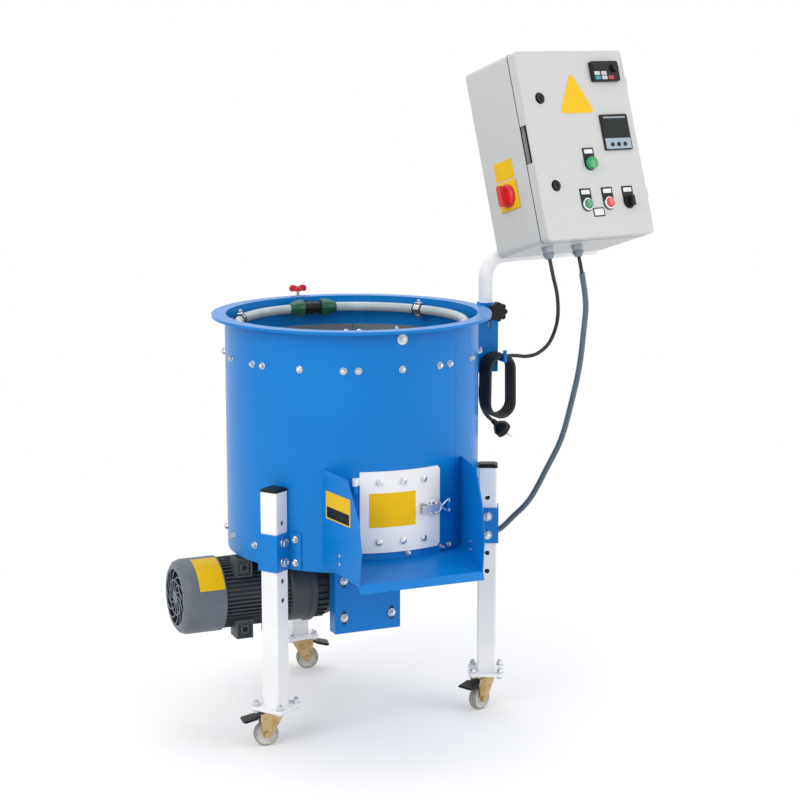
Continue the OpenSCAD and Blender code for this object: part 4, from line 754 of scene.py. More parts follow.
class Assembly(Graph):
    """A Geometry Nodes tree with named inputs, run on points to give a plain mesh."""

    PREFIX = dict.fromkeys(
        (
            "MeshCone", "MeshCube", "Transform", "JoinGeometry", "InstanceOnPoints", "RealizeInstances",
            "SetMaterial", "InputNamedAttribute",
        ),
        "GeometryNode",
    )
    PREFIX["AlignRotationToVector"] = "FunctionNode"
    PREFIX["GroupInput"] = PREFIX["GroupOutput"] = "Node"

    def __init__(self, name, **inputs):
        super().__init__(bpy.data.node_groups.new(name, "GeometryNodeTree"))
        face = self.tree.interface
        for way in ("INPUT", "OUTPUT"):
            face.new_socket("Geometry", in_out=way, socket_type="NodeSocketGeometry")
        self.sockets = {}
        for key, kind in inputs.items():
            made = face.new_socket(key.replace("_", " "), in_out="INPUT", socket_type="NodeSocket" + kind)
            self.sockets[key] = made.identifier
        self.given = self.node("GroupInput").socket.node.outputs

    def value(self, key):
        return Value(self, self.given[key.replace("_", " ")])

    def rod(self, radius, end_radius, height, low, sides):
        """A rod or cone with its foot at a height."""
        made = self.node(
            "MeshCone", {"fill_type": "NGON"},
            {"Vertices": sides, "Radius Bottom": radius, "Radius Top": end_radius, "Depth": height},
        )
        lift = self.node("CombineXYZ", sockets={"Z": low})
        return self.node("Transform", sockets={"Geometry": made, "Translation": lift})

    def on_points(self, shape):
        """Sets a shape on each point along its axis attribute, as plain faces in the given material."""
        axis = self.node("InputNamedAttribute", {"data_type": "FLOAT_VECTOR"}, {"Name": "axis"})
        turn = self.node("AlignRotationToVector", {"axis": "Z"}, {"Vector": axis})
        points = self.value("Geometry")
        made = self.node("InstanceOnPoints", sockets={"Points": points, "Instance": shape, "Rotation": turn})
        made = self.node("RealizeInstances", sockets={0: made})
        made = self.node("SetMaterial", sockets={"Geometry": made, "Material": self.value("Material")})
        self.node("GroupOutput", sockets={0: made})

    def run(self, places, **values):
        """The mesh for (point, axis) pairs, the point in millimetres about the drum's axis."""
        mesh = bpy.data.meshes.new("points")
        mesh.from_pydata([at(*point) for point, axis in places], [], [])
        axes = mesh.attributes.new("axis", "FLOAT_VECTOR", "POINT")
        for i, (point, axis) in enumerate(places):
            axes.data[i].vector = axis
        holder = bpy.data.objects.new("points", mesh)
        bpy.context.scene.collection.objects.link(holder)
        modifier = holder.modifiers.new("assembly", "NODES")
        modifier.node_group = self.tree
        for key, value in values.items():
            modifier[self.sockets[key]] = value
        graph = bpy.context.evaluated_depsgraph_get()
        made = bpy.data.meshes.new_from_object(holder.evaluated_get(graph), depsgraph=graph)
        holder.modifiers.remove(modifier)
        bpy.data.objects.remove(holder)
        bpy.data.meshes.remove(mesh)
        return made


class Fastener(Assembly):
    """A washer, a nut or head with a crown and the end of the bolt, in millimetres along its axis."""

    # Parts of the height of a nut and of a bolt's end that are straight.
    FLANKS, SHANK = 0.7, 0.75
    # Radii as parts of the one below: a washer's top, a crown's foot, a bolt's chamfer and its end.
    WASHER_TOP, CROWN_FOOT, CHAMFER, END = 0.97, 0.995, 0.99, 0.6
    WASHER_SIDES, TIP_SIDES, TIP_SUNK = 24, 16, 0.0001

    def __init__(self):
        super().__init__(
            "fastener", Sides="Int", Nut="Float", Nut_Height="Float", Crown="Float", Washer="Float",
            Washer_Height="Float", Tip="Float", Tip_Height="Float", Material="Material",
        )
        scale = 0.5 * MM
        nut, washer, tip = (self.value(key) * scale for key in ("Nut", "Washer", "Tip"))
        thick, high, reach = (self.value(key) * MM for key in ("Washer_Height", "Nut_Height", "Tip_Height"))
        sides, crown = self.value("Sides"), self.value("Crown")
        flanks, shank = high * self.FLANKS, reach * self.SHANK
        top = thick + high - self.TIP_SUNK
        parts = [
            self.rod(washer, washer * self.WASHER_TOP, thick, 0.0, self.WASHER_SIDES),
            self.rod(nut, nut, flanks, thick, sides),
            self.rod(nut * self.CROWN_FOOT, nut * crown, high - flanks, thick + flanks, sides),
            self.rod(tip, tip, shank, top, self.TIP_SIDES),
            self.rod(tip * self.CHAMFER, tip * self.END, reach - shank, top + shank, self.TIP_SIDES),
        ]
        self.on_points(self.node("JoinGeometry", sockets={0: parts}))


class Rib(Assembly):
    """A small round rib that thins towards its end."""

    SIDES, END = 8, 0.5

    def __init__(self):
        super().__init__("rib", Radius="Float", Length="Float", Material="Material")
        radius, length = self.value("Radius") * MM, self.value("Length") * MM
        self.on_points(self.rod(radius, radius * self.END, length, 0.0, self.SIDES))


class Fin(Assembly):
    """A flat fin along x that stands up along its axis."""

    def __init__(self):
        super().__init__("fin", Length="Float", Thickness="Float", Height="Float", Material="Material")
        size = self.node(
            "CombineXYZ",
            sockets={i: self.value(key) * MM for i, key in enumerate(("Length", "Thickness", "Height"))},
        )
        self.on_points(self.node("MeshCube", sockets={"Size": size}))


HEX_NUT = dict(
    Sides=6, Nut=12.0, Nut_Height=4.8, Crown=0.86, Washer=15.0, Washer_Height=1.0, Tip=6.0, Tip_Height=2.4
)
ROUND_HEAD = dict(
    Sides=16, Nut=12.0, Nut_Height=3.0, Crown=0.72, Washer=10.0, Washer_Height=0.2, Tip=6.0, Tip_Height=0.4
)


def bolts(bm, made, places, coat="bolt_steel", place=0, **values):
    """Adds what an assembly sets on some places to a mesh, and gives its faces the place of a finish."""
    mesh = made.run(places, Material=finish(coat), **values)
    before = set(bm.faces)
    bm.from_mesh(mesh)
    for face in set(bm.faces) - before:
        face.material_index, face.smooth = place, True
    bpy.data.meshes.remove(mesh)


def outward(points):
    """The middle of some points and the way out from the drum's axis there."""
    low, high = spread(points)
    middle = (low + high) / 2
    return middle, Vector((middle.x, middle.y, 0)).normalized()


# The chute's width at the drum, its sheet, where its walls meet the drum and how far they turn in.
CHUTE_W, CHUTE_T, CHUTE_BACK, CHUTE_TAPER = 300.0, 2.5, 218.46, 7.4


class HULLER_OT_fasteners(bpy.types.Operator):
    """Bolts, nuts and washers of the drum, the door, the chute, the legs, the castors and the bracket"""

    bl_idname = "huller.fasteners"
    bl_label = "Fasteners"

    WING_OUT, LEG_HALF, PLATE_TOP, BRACKET_FRONT, HEAD_H = 268.4, 23.3, 84.0, 83.0, 5.0
    # The least size of the door's sheet, the greatest height of the castors' bolts, the greatest distance of
    # the bracket's bolts from the axis, and the least length of a bolt through a leg.
    SHEET_OVER, CASTOR_UNDER, BRACKET_WITHIN, LEG_BOLT_OVER = 40, 150, 180, 25
    CHUTE_TURNS, CHUTE_BOLT_Z = (-20.5, 2.7, 20.5), 402.0
    CHUTE_SCREW_Y, CHUTE_SCREW_Z = -70.0, (400.0, 417.0)

    def execute(self, context):
        made = Fastener()
        self.liner(made)
        self.door(made)
        self.stand(made)
        self.chute(made)
        return {"FINISHED"}

    def liner(self, made):
        source = merged("liner_bolts")
        inside, outside = [], []
        for island in islands(source):
            points = corners(island)
            middle, out = outward(points)
            level = Vector((0, 0, middle.z))
            foot = min(p.dot(out) for p in points)
            inside.append((out * (foot + ROUND_HEAD["Nut_Height"]) + level, -out))
            outside.append((out * DRUM_R + level, out))
        source.free()
        bm = bmesh.new()
        bolts(bm, made, inside, **ROUND_HEAD)
        bolts(bm, made, outside, **HEX_NUT)
        replaced("liner_bolts", "liner_fasteners", bm, ("bolt_steel",))

    def door(self, made):
        bm = merged("door_facing")
        heads = []
        for island in islands(bm):
            points = corners(island)
            low, high = spread(points)
            if max(high - low) > self.SHEET_OVER:
                continue
            middle, out = outward(points)
            heads.append((out * DOOR_OUT + Vector((0, 0, middle.z)), out))
            bmesh.ops.delete(bm, geom=island, context="FACES")
        bolts(bm, made, heads, place=1, **{**ROUND_HEAD, "Nut": 13.0, "Nut_Height": 4.4, "Crown": 0.6})
        replaced("door_facing", "door_facing_bolted", bm, ("liner_steel", "bolt_steel"))

    def stand(self, made):
        source = merged("frame_bolts")
        through, ends, wings, plates, heads, slots = [], [], [], [], [], []
        for island in islands(source):
            points = corners(island)
            low, high = spread(points)
            size = high - low
            middle, out = outward(points)
            level = Vector((0, 0, middle.z))
            side = Vector((-out.y, out.x, 0))
            if middle.z < self.CASTOR_UNDER:
                plates.append((Vector((middle.x, middle.y, self.PLATE_TOP)), Vector((0, 0, 1))))
                heads.append((Vector((middle.x, middle.y, low.z + self.HEAD_H)), Vector((0, 0, -1))))
            elif max(abs(middle.x), abs(middle.y)) < self.BRACKET_WITHIN:
                slots.append((Vector((middle.x, -self.BRACKET_FRONT, middle.z)), Vector((0, -1, 0))))
            elif max(size.x, size.y) > self.LEG_BOLT_OVER:
                through.append((middle + side * self.LEG_HALF, side))
                ends.append((middle - side * self.LEG_HALF, -side))
            else:
                wings.append((out * self.WING_OUT + level, out))
        source.free()
        bm = bmesh.new()
        large = {**HEX_NUT, "Nut": 19.0, "Nut_Height": 6.5, "Washer": 20.0, "Tip": 10.0}
        bolts(bm, made, through, **{**large, "Tip_Height": 0.4})
        bolts(bm, made, ends, **{**large, "Tip_Height": 5.0})
        bolts(bm, made, wings, **HEX_NUT)
        middling = {**HEX_NUT, "Nut": 14.4, "Nut_Height": 6.0, "Washer": 16.0, "Tip": 8.0}
        bolts(bm, made, plates, **{**middling, "Crown": 0.8, "Tip": 10.0, "Tip_Height": 5.0})
        bolts(bm, made, heads, **{**middling, "Nut_Height": 4.0, "Tip_Height": 0.4})
        bolts(bm, made, slots, **{**middling, "Washer": 17.6, "Washer_Height": 1.5, "Tip_Height": 4.0})
        replaced("frame_bolts", "frame_fasteners", bm, ("bolt_steel",))

    def chute(self, made):
        """Bolts through the drum above the chute's floor, and screws through the chute's walls."""
        level = Vector((0, 0, self.CHUTE_BOLT_Z))
        ways = [Vector((*turned(0, -1, turn), 0)) for turn in self.CHUTE_TURNS]
        feet = [(way * DRUM_R + level, way) for way in ways]
        screws = []
        for side in (-1, 1):
            lean = Matrix.Rotation(math.radians(-side * CHUTE_TAPER), 3, "Z")
            inward = lean @ Vector((-side, 0, 0))
            foot = Vector((side * CHUTE_W / 2, -CHUTE_BACK, 0)) + lean @ Vector((0, self.CHUTE_SCREW_Y, 0))
            for z in self.CHUTE_SCREW_Z:
                screws.append((foot + Vector((0, 0, z)), inward))
                screws.append((foot + Vector((0, 0, z)) - inward * CHUTE_T, -inward))
        bm = bmesh.new()
        bolts(bm, made, feet, **{**HEX_NUT, "Nut": 10.0, "Washer": 12.0, "Tip_Height": 5.0})
        bolts(bm, made, screws, **{**ROUND_HEAD, "Nut": 7.0, "Nut_Height": 2.4, "Washer": 6.0, "Tip": 3.0})
        settled("chute_fasteners", bm, "base", ("bolt_steel",))


# From millimetres about the drum's axis to the row frame in metres.
MACHINE = Matrix.Scale(MM, 4) @ Matrix.Translation(DRUM_AT)
# The pole and its turn, the reach and height of its arm, and the box's lean and foot on the arm.
POLE_X, POLE_TURN, ARM_REACH, ARM_Z, BOX_LEAN, BOX_FOOT = 309, 13, 168, 958, -17.4, (0, -19, -10)
# The control box: its bottom back middle, leaning back on the turned arm.
BOX = (
    MACHINE
    @ Matrix.Translation((POLE_X, 0, 0))
    @ Matrix.Rotation(math.radians(POLE_TURN), 4, "Z")
    @ Matrix.Translation((ARM_REACH, 0, ARM_Z))
    @ Matrix.Rotation(math.radians(BOX_LEAN), 4, "X")
    @ Matrix.Translation(BOX_FOOT)
)
BOX_W, BOX_H, BOX_D = 300.0, 405.0, 172.0


def facing(across, up, out, origin):
    """A frame on a face: x across it, y up it and z out of it."""
    made = Matrix((across, up, out)).transposed().to_4x4()
    made.translation = origin
    return made


PANEL = BOX @ facing((1, 0, 0), (0, 0, 1), (0, -1, 0), (-BOX_W / 2, -BOX_D, 0))
CABINET_SIDE = BOX @ facing((0, -1, 0), (0, 0, 1), (-1, 0, 0), (-BOX_W / 2, 0, 0))
# The motor's axis, with z along it to the right.
MOTOR_Y, MOTOR_Z = 40.0, 273.0
MOTOR = MACHINE @ facing((0, -1, 0), (0, 0, -1), (1, 0, 0), (0, MOTOR_Y, MOTOR_Z))


class Shape:
    """Gathers the solids of one piece in a frame in millimetres, each with the place of its finish."""

    def __init__(self, place=MACHINE):
        self.bm = bmesh.new()
        self.place = place

    def keep(self, verts, coat, edge):
        faces = {f for v in verts for f in v.link_faces}
        for face in faces:
            face.material_index = coat
        if edge:
            edges = {e for f in faces for e in f.edges if e.calc_face_angle(0.0) > SHARP}
            bmesh.ops.bevel(
                self.bm, geom=list(edges), offset=edge, segments=3, profile=0.5, affect="EDGES",
                clamp_overlap=True, material=-1,
            )

    def block(self, low, high, coat=0, edge=0.0):
        low, high = Vector(low), Vector(high)
        where = Matrix.Translation((low + high) / 2) @ Matrix.Diagonal((*(high - low), 1))
        made = bmesh.ops.create_cube(self.bm, size=1.0, matrix=where)
        self.keep(made["verts"], coat, edge)

    def rod(self, start, end, radius, coat=0, end_radius=None, sides=32, edge=0.0):
        start, end = Vector(start), Vector(end)
        along = end - start
        where = Matrix.Translation((start + end) / 2) @ along.to_track_quat("Z", "Y").to_matrix().to_4x4()
        made = bmesh.ops.create_cone(
            self.bm, cap_ends=True, segments=sides, radius1=radius, depth=along.length,
            radius2=radius if end_radius is None else end_radius, matrix=where,
        )
        self.keep(made["verts"], coat, edge)

    def slab(self, outline, low, high, coat=0, edge=0.0):
        """A flat outline in x and y, raised from one height to another."""
        floor, roof = self.rows(((x, y, z) for x, y in outline) for z in (low, high))
        self.bm.faces.new(list(reversed(floor)))
        self.bm.faces.new(roof)
        skin(self.bm, [floor, roof])
        self.keep(floor + roof, coat, edge)

    def plate(self, x, y, w, h, corner, low, high, coat=0, edge=0.0):
        """A slab with round corners about a point."""
        self.slab(round_box((x, y), (w, h), corner), low, high, coat, edge)

    def turn(self, profile, x=0.0, y=0.0, coat=0, around=48):
        """A profile of (radius, height) turned about z; it is closed, or starts and ends on the axis."""
        ways = [turned(1, 0, 360 * k / around) for k in range(around)]
        rings = self.rows(
            [(x + r * across, y + r * up, z) for across, up in (ways if r else ways[:1])] for r, z in profile
        )
        skin(self.bm, rings)
        self.keep([v for ring in rings for v in ring], coat, 0.0)

    def rows(self, lines):
        """New corners for lines of points."""
        return [[self.bm.verts.new(point) for point in line] for line in lines]

    def close(self):
        """Turns the faces outwards and sets them in the row frame."""
        bmesh.ops.recalc_face_normals(self.bm, faces=self.bm.faces)
        shade_smooth(self.bm)
        self.bm.transform(self.place)

    def join(self, bm):
        """Adds the solids to another mesh."""
        self.close()
        spare = bpy.data.meshes.new("spare")
        self.bm.to_mesh(spare)
        self.bm.free()
        bm.from_mesh(spare)
        bpy.data.meshes.remove(spare)

    def done(self, name, body, *finishes, stands_for=(), slot=None):
        """Shows the solids as a piece on a body."""
        self.close()
        return settled(name, self.bm, body, finishes, stands_for, SHARP)


def round_box(middle, size, r, steps=6):
    """The outline of a rectangle with round corners."""
    points = []
    for quarter in range(4):
        sx, sy = ((1, 1), (-1, 1), (-1, -1), (1, -1))[quarter]
        cx = middle[0] + sx * (size[0] / 2 - r)
        cy = middle[1] + sy * (size[1] / 2 - r)
        for k in range(steps + 1):
            a = math.pi / 2 * (quarter + k / steps)
            points.append((cx + r * math.cos(a), cy + r * math.sin(a)))
    return points


def round_triangle(corners, r, steps=6):
    """The outline of a triangle with round corners, anticlockwise."""
    points = []
    for i in range(3):
        here, back, on = Vector(corners[i]), Vector(corners[i - 1]), Vector(corners[(i + 1) % 3])
        a, b = (back - here).normalized(), (on - here).normalized()
        half = a.angle(b) / 2
        middle = here + (a + b).normalized() * (r / math.sin(half))
        start, end = middle - here - a * (r / math.tan(half)), middle - here - b * (r / math.tan(half))
        for k in range(steps + 1):
            points.append(tuple(middle - start.lerp(end, k / steps).normalized() * r))
    return points


def legend(x, y, half=15.0, top=34.0, steps=16):
    """The outline of a legend plate: square above the button and round below it."""
    arc = [math.pi * (1 + k / steps) for k in range(steps + 1)]
    below = [(x + half * math.cos(a), y + half * math.sin(a)) for a in arc]
    return [(x + half, y + top), (x - half, y + top)] + below


class HULLER_OT_control_panel(bpy.types.Operator):
    """The control box's face: keypad, display, lamp, legend plates, buttons and a blank plate"""

    bl_idname = "huller.control_panel"
    bl_label = "Control Panel"

    # Middles on the door's face, from its lower left corner.
    BUTTONS = {"start": (123, 72), "stop": (184, 72), "selector": (242, 72), "lamp": (152, 159)}
    LOCKS, TAG, TRIANGLE = ((47, 303), (47, 116)), (152, 54), ((95, 269), (193, 269), (144, 359))
    # Plates of the keypad and of the display: middle, size, corner, foot, top, finish and edge.
    PLATES = (
        (238, 357, 77, 44, 4, 0, 8.2, 0, 1.2), (238, 357, 72, 39, 3, 8.0, 9.0, 0, 0.4),
        (223, 366, 36, 14, 1, 8.6, 9.5, 1, 0.2), (240, 224, 77, 78, 3, 0, 4.2, 0, 1.0),
        (240, 199, 72, 23, 2, 4.0, 4.8, 6, 0.3), (240, 235.5, 72, 49, 2, 4.0, 4.8, 1, 0.3),
        (240, 256, 62, 3, 1, 4.4, 5.1, 6, 0.15),
    )
    # Keys of the keypad, as middle and finish, and its ribbed knob; keys of the display.
    KEYS = ((212, 352.4, 4), (231, 352.4, 4), (212, 342.6, 3), (231, 342.6, 4), (250, 342.6, 5))
    KNOB, KNOB_AT = ((0, 8.8), (8.5, 8.8), (8.5, 14.5), (7.6, 16.6), (5.0, 17.0), (0, 17.0)), (262, 363)
    KNOB_RIBS, KNOB_RIB_AT, KNOB_RIB_R = 16, 8.4, 0.8
    ROUND_KEYS, ROUND_KEY_Y, ROUND_KEY_R = (222, 240, 258), 197, 4.5
    # Half sections, as radius and height: a button's collar, the lamp's collar and lens, a lock's washer and
    # collar, and a button's cap.
    COLLAR = ((11.2, 0), (13.8, 0), (13.8, 3.4), (13.2, 5.2), (12.2, 5.8), (11.2, 5.8), (11.2, 0))
    LAMP_COLLAR = ((0, 0), (15, 0), (15, 2.6), (14.2, 3), (0, 3))
    LENS = ((0, 2.8), (13.2, 2.8), (13.2, 10.5), (12.6, 12.2), (11.6, 12.9), (0, 13.4))
    LOCK_WASHER = ((12.4, 0), (13.6, 0), (13.6, 0.6), (12.4, 0.6), (12.4, 0))
    LOCK_COLLAR = ((10.4, 0), (12.6, 0), (12.6, 0.7), (12.0, 1.3), (10.4, 1.3), (10.4, 0))
    CAP = ((0, -13), (10.9, -13), (10.9, 6.4), (10.2, 7.6), (9.0, 8.0), (7.6, 7.5), (0, 6.8))

    def execute(self, context):
        self.displays()
        self.fittings()
        self.push_button("start_button", "start", "button_green")
        self.push_button("stop_button", "stop", "button_red")
        plate = Shape(PANEL)
        plate.slab(round_triangle(self.TRIANGLE, 7), 0.0, 0.6, 0, 0.15)
        plate.done("triangle_plate", "lid", "marker_yellow", slot="fittings")
        return {"FINISHED"}

    def displays(self):
        made = Shape(PANEL)
        for plate in self.PLATES:
            made.plate(*plate)
        x, y = self.KNOB_AT
        made.turn(self.KNOB, x, y, around=32)
        for k in range(self.KNOB_RIBS):
            rx, ry = turned(self.KNOB_RIB_AT, 0, 360 * k / self.KNOB_RIBS)
            made.rod((x + rx, y + ry, 9), (x + rx, y + ry, 14.5), self.KNOB_RIB_R, sides=8)
        for x, y, coat in self.KEYS:
            made.plate(x, y, 15, 8, 1.4, 8.8, 9.9, coat, 0.3)
        for x in self.ROUND_KEYS:
            made.rod((x, self.ROUND_KEY_Y, 4.4), (x, self.ROUND_KEY_Y, 6.8), self.ROUND_KEY_R, edge=0.7)
        made.done(
            "panel_instruments", "lid", "black_plastic", "display_glass", "label_white", "key_teal",
            "key_white", "key_red", "display_blue", stands_for=("panel_displays",), slot="fittings",
        )

    def fittings(self):
        made = Shape(PANEL)
        for name, (x, y) in self.BUTTONS.items():
            made.slab(legend(x, y), 0, 1.6, 1, 0.3)
            made.plate(x, y + 26, 23, 9, 1, 1.4, 2.0, 2, 0.15)
            dark = name in ("selector", "lamp")
            made.turn(self.LAMP_COLLAR if name == "lamp" else self.COLLAR, x, y, int(dark))
        made.turn(self.LENS, *self.BUTTONS["lamp"], 3)
        made.plate(*self.TAG, 31, 19, 2, 0, 0.8, 1, 0.15)
        made.plate(*self.TAG, 26, 14, 1.5, 0.6, 1.1, 2, 0.15)
        for lock in self.LOCKS:
            made.turn(self.LOCK_WASHER, *lock, 2)
            made.turn(self.LOCK_COLLAR, *lock, 1)
        made.done(
            "panel_collars", "lid", "bolt_steel", "label_black", "label_white", "lamp_green",
            stands_for=("panel_fittings",), slot="fittings",
        )

    def push_button(self, node, name, coat):
        made = Shape(PANEL)
        made.turn(self.CAP, *self.BUTTONS[name])
        made.done(node + "_cap", name, coat, stands_for=(node,))


class HULLER_OT_stickers(bpy.types.Operator):
    """Blank stickers on the door, the chute, the motor's cowl and the control box's side"""

    bl_idname = "huller.stickers"
    bl_label = "Stickers"

    COWL_R = 79.0
    # Curved stickers: turns from the front in degrees and ends along the axis, then steps and lift.
    ON_DOOR, ON_COWL = ((-15.0, 6.0), (459, 529)), ((5.0, 70.0), (-352, -298))
    STEPS, LIFT = 16, 0.02
    # Flat stickers: middle, size and corner.
    ON_BOX, ON_CHUTE, BAND = (71.5, 175, 61, 40, 2), (281, 510, 98, 56, 2), (281, 496, 90, 22, 1.5)

    def execute(self, context):
        t = sizes().sticker / MM
        self.curved("door_sticker", "door", MACHINE, DOOR_OUT, *self.ON_DOOR, t)
        self.curved("cowl_sticker", "base", MOTOR, self.COWL_R, *self.ON_COWL, t)
        side = Shape(CABINET_SIDE)
        side.plate(*self.ON_BOX, 0, t + 0.3, 0, 0.1)
        side.done("cabinet_sticker", "control", "marker_yellow", slot="fittings")
        wall = (
            MACHINE
            @ Matrix.Translation((-CHUTE_W / 2, -CHUTE_BACK, 0))
            @ Matrix.Rotation(math.radians(CHUTE_TAPER), 4, "Z")
            @ Matrix.Translation((0, CHUTE_BACK, 0))
            @ facing((0, -1, 0), (0, 0, 1), (-1, 0, 0), (-CHUTE_T, 0, 0))
        )
        chute = Shape(wall)
        chute.plate(*self.ON_CHUTE, 0, t + 0.1, 0, 0.1)
        chute.plate(*self.BAND, t, t + 0.25, 1, 0.05)
        chute.done("chute_sticker", "base", "marker_yellow", "label_black", slot="fittings")
        return {"FINISHED"}

    def curved(self, name, body, place, radius, turns, heights, thick):
        """A sticker that lies on a round surface about the frame's z."""
        made = Shape(place)
        (start, end), (low, high) = turns, heights
        inner, outer = radius + self.LIFT, radius + thick
        angles = [start + (end - start) * k / self.STEPS for k in range(self.STEPS + 1)]
        rows = made.rows(
            [(*turned(0, -r, angle), z) for angle in angles]
            for r, z in ((inner, low), (outer, low), (outer, high), (inner, high))
        )
        skin(made.bm, rows, round_rows=False, meet=True)
        for k in (0, -1):
            made.bm.faces.new([row[k] for row in rows])
        made.done(name, body, "marker_yellow", slot="fittings")


class HULLER_OT_cabinet_fittings(bpy.types.Operator):
    """The control box's rounded halves and the seal between them, its cable glands and its main switch"""

    bl_idname = "huller.cabinet_fittings"
    bl_label = "Cabinet Fittings"

    GLANDS, GLAND_Y = (-95.0, -13.0), -100.0
    # Rings of a gland from the box down: foot, top, radii at the top and foot, sides, finish and edge.
    GLAND = (
        (-8.0, 0.0, 13.0, 13.0, 6, 0, 0.8), (-12.0, -7.9, 11.0, 11.0, 32, 0, 0.4),
        (-18.5, -11.9, 12.6, 12.6, 6, 1, 0.8), (-26.0, -18.4, 11.2, 7.4, 32, 1, 1.4),
    )
    BODY_D, SEAL, SEAL_PROUD, SEAL_OVER = 148.0, 1.6, 0.25, 0.4
    # The switch's middle on the box's side, its plate's half width and thickness, and its handle's section.
    SWITCH, SWITCH_HALF, SWITCH_T = (74.0, 120.0), 31.0, 4.0
    HANDLE = ((0, 4.2), (24.5, 4.2), (24.5, 9.5), (23.6, 11.6), (21.5, 12.8), (17.0, 13.4), (0, 13.6))
    # Rounds of the box's corners and edges with their steps, its sheet, and limits for near and for flat.
    CORNER, CORNER_STEPS, EDGE, EDGE_STEPS, SHEET, NEAR, FLAT = 10.0, 7, 2.6, 4, 1.5, 0.2, 0.9999

    def execute(self, context):
        for node in ("box_body", "box_door"):
            self.rounded(node)
        made = Shape(BOX)
        for x in self.GLANDS:
            for low, high, r, end, sides, coat, edge in self.GLAND:
                made.rod((x, self.GLAND_Y, high), (x, self.GLAND_Y, low), r, coat, end, sides, edge)
        x, y = self.SWITCH
        half, wall = self.SWITCH_HALF, -BOX_W / 2
        made.block((wall - self.SWITCH_T, -x - half, y - half), (wall + 0.01, -x + half, y + half), 2, 1.6)
        made.done(
            "cabinet_glands", "control", "gland_grey", "gland_dark", "marker_yellow",
            stands_for=("box_fittings",), slot="fittings",
        )
        self.seal()
        handle = Shape(CABINET_SIDE)
        handle.turn(self.HANDLE, x, y)
        handle.plate(x, y, 13, 45, 6, 12.0, 27.5, 0, 2.2)
        handle.done("isolator_handle", "isolator", "valve_red", stands_for=("main_switch",))
        return {"FINISHED"}

    def outline_gap(self, p):
        """Distance of a point, seen from the front, from the box's outline with round corners."""
        r = self.CORNER
        away = Vector((abs(p.x) - BOX_W / 2 + r, abs(p.z - BOX_H / 2) - BOX_H / 2 + r))
        return abs(Vector((max(away.x, 0), max(away.y, 0))).length + min(max(away), 0) - r)

    def corner_edges(self, bm, inset):
        """The edges along the box's depth at its corners, or at those of its inside."""
        w, h = BOX_W / 2 - inset, BOX_H / 2 - inset
        found = []
        for edge in bm.edges:
            a, b = (v.co for v in edge.verts)
            at_corner = abs(abs(a.x) - w) < self.NEAR and abs(abs(a.z - BOX_H / 2) - h) < self.NEAR
            if at_corner and (b - a).xz.length < self.NEAR:
                found.append(edge)
        return found

    def end_edges(self, bm):
        """The edges round the box's front and back."""

        def at_end(face):
            return all(min(abs(v.co.y), abs(v.co.y + BOX_D)) < self.NEAR for v in face.verts)

        found = []
        for edge in bm.edges:
            middle = (edge.verts[0].co + edge.verts[1].co) / 2
            if sorted(map(at_end, edge.link_faces)) == [False, True] and self.outline_gap(middle) < self.NEAR:
                found.append(edge)
        return found

    def rounded(self, node):
        """Shows a half of the box by a copy with its outer corners and edges rounded."""
        bm = merged(node)
        bm.transform(BOX.inverted())
        make_flats_whole(bm)

        def bevel(edges, offset, steps):
            bmesh.ops.bevel(
                bm, geom=edges, offset=offset, offset_type="OFFSET", segments=steps, profile=0.5,
                affect="EDGES", clamp_overlap=False,
            )

        for inset in (0.0, self.SHEET):
            bevel(self.corner_edges(bm, inset), self.CORNER - inset, self.CORNER_STEPS)
        bevel(self.end_edges(bm), self.EDGE, self.EDGE_STEPS)
        bm.normal_update()
        for face in bm.faces:
            face.smooth = max(abs(n) for n in face.normal) < self.FLAT
        bm.transform(BOX)
        replaced(node, node + "_rounded", bm, ("cabinet_grey",))

    def seal(self):
        """The dark seal that shows between the box and its door."""
        made = Shape(BOX)
        back, front = -self.BODY_D + self.SEAL, -self.BODY_D - self.SEAL_OVER
        out, within = (
            round_box((0, BOX_H / 2), (BOX_W + 2 * grow, BOX_H + 2 * grow), self.CORNER + grow)
            for grow in (self.SEAL_PROUD, -self.SEAL)
        )
        loops = made.rows(
            [(x, y, z) for x, z in outline]
            for outline, y in ((out, front), (out, back), (within, back), (within, front))
        )
        skin(made.bm, loops, meet=True)
        made.done("door_seal", "control", "black_rubber", slot="fittings")


def along_hose(turn):
    """A frame on the spray ring with z along the hose, turned from the front by an angle in degrees."""
    return (
        MACHINE
        @ Matrix.Rotation(math.radians(turn), 4, "Z")
        @ Matrix.Translation((0, -RING_R, RING_Z))
        @ Matrix.Rotation(math.pi / 2, 4, "Y")
    )


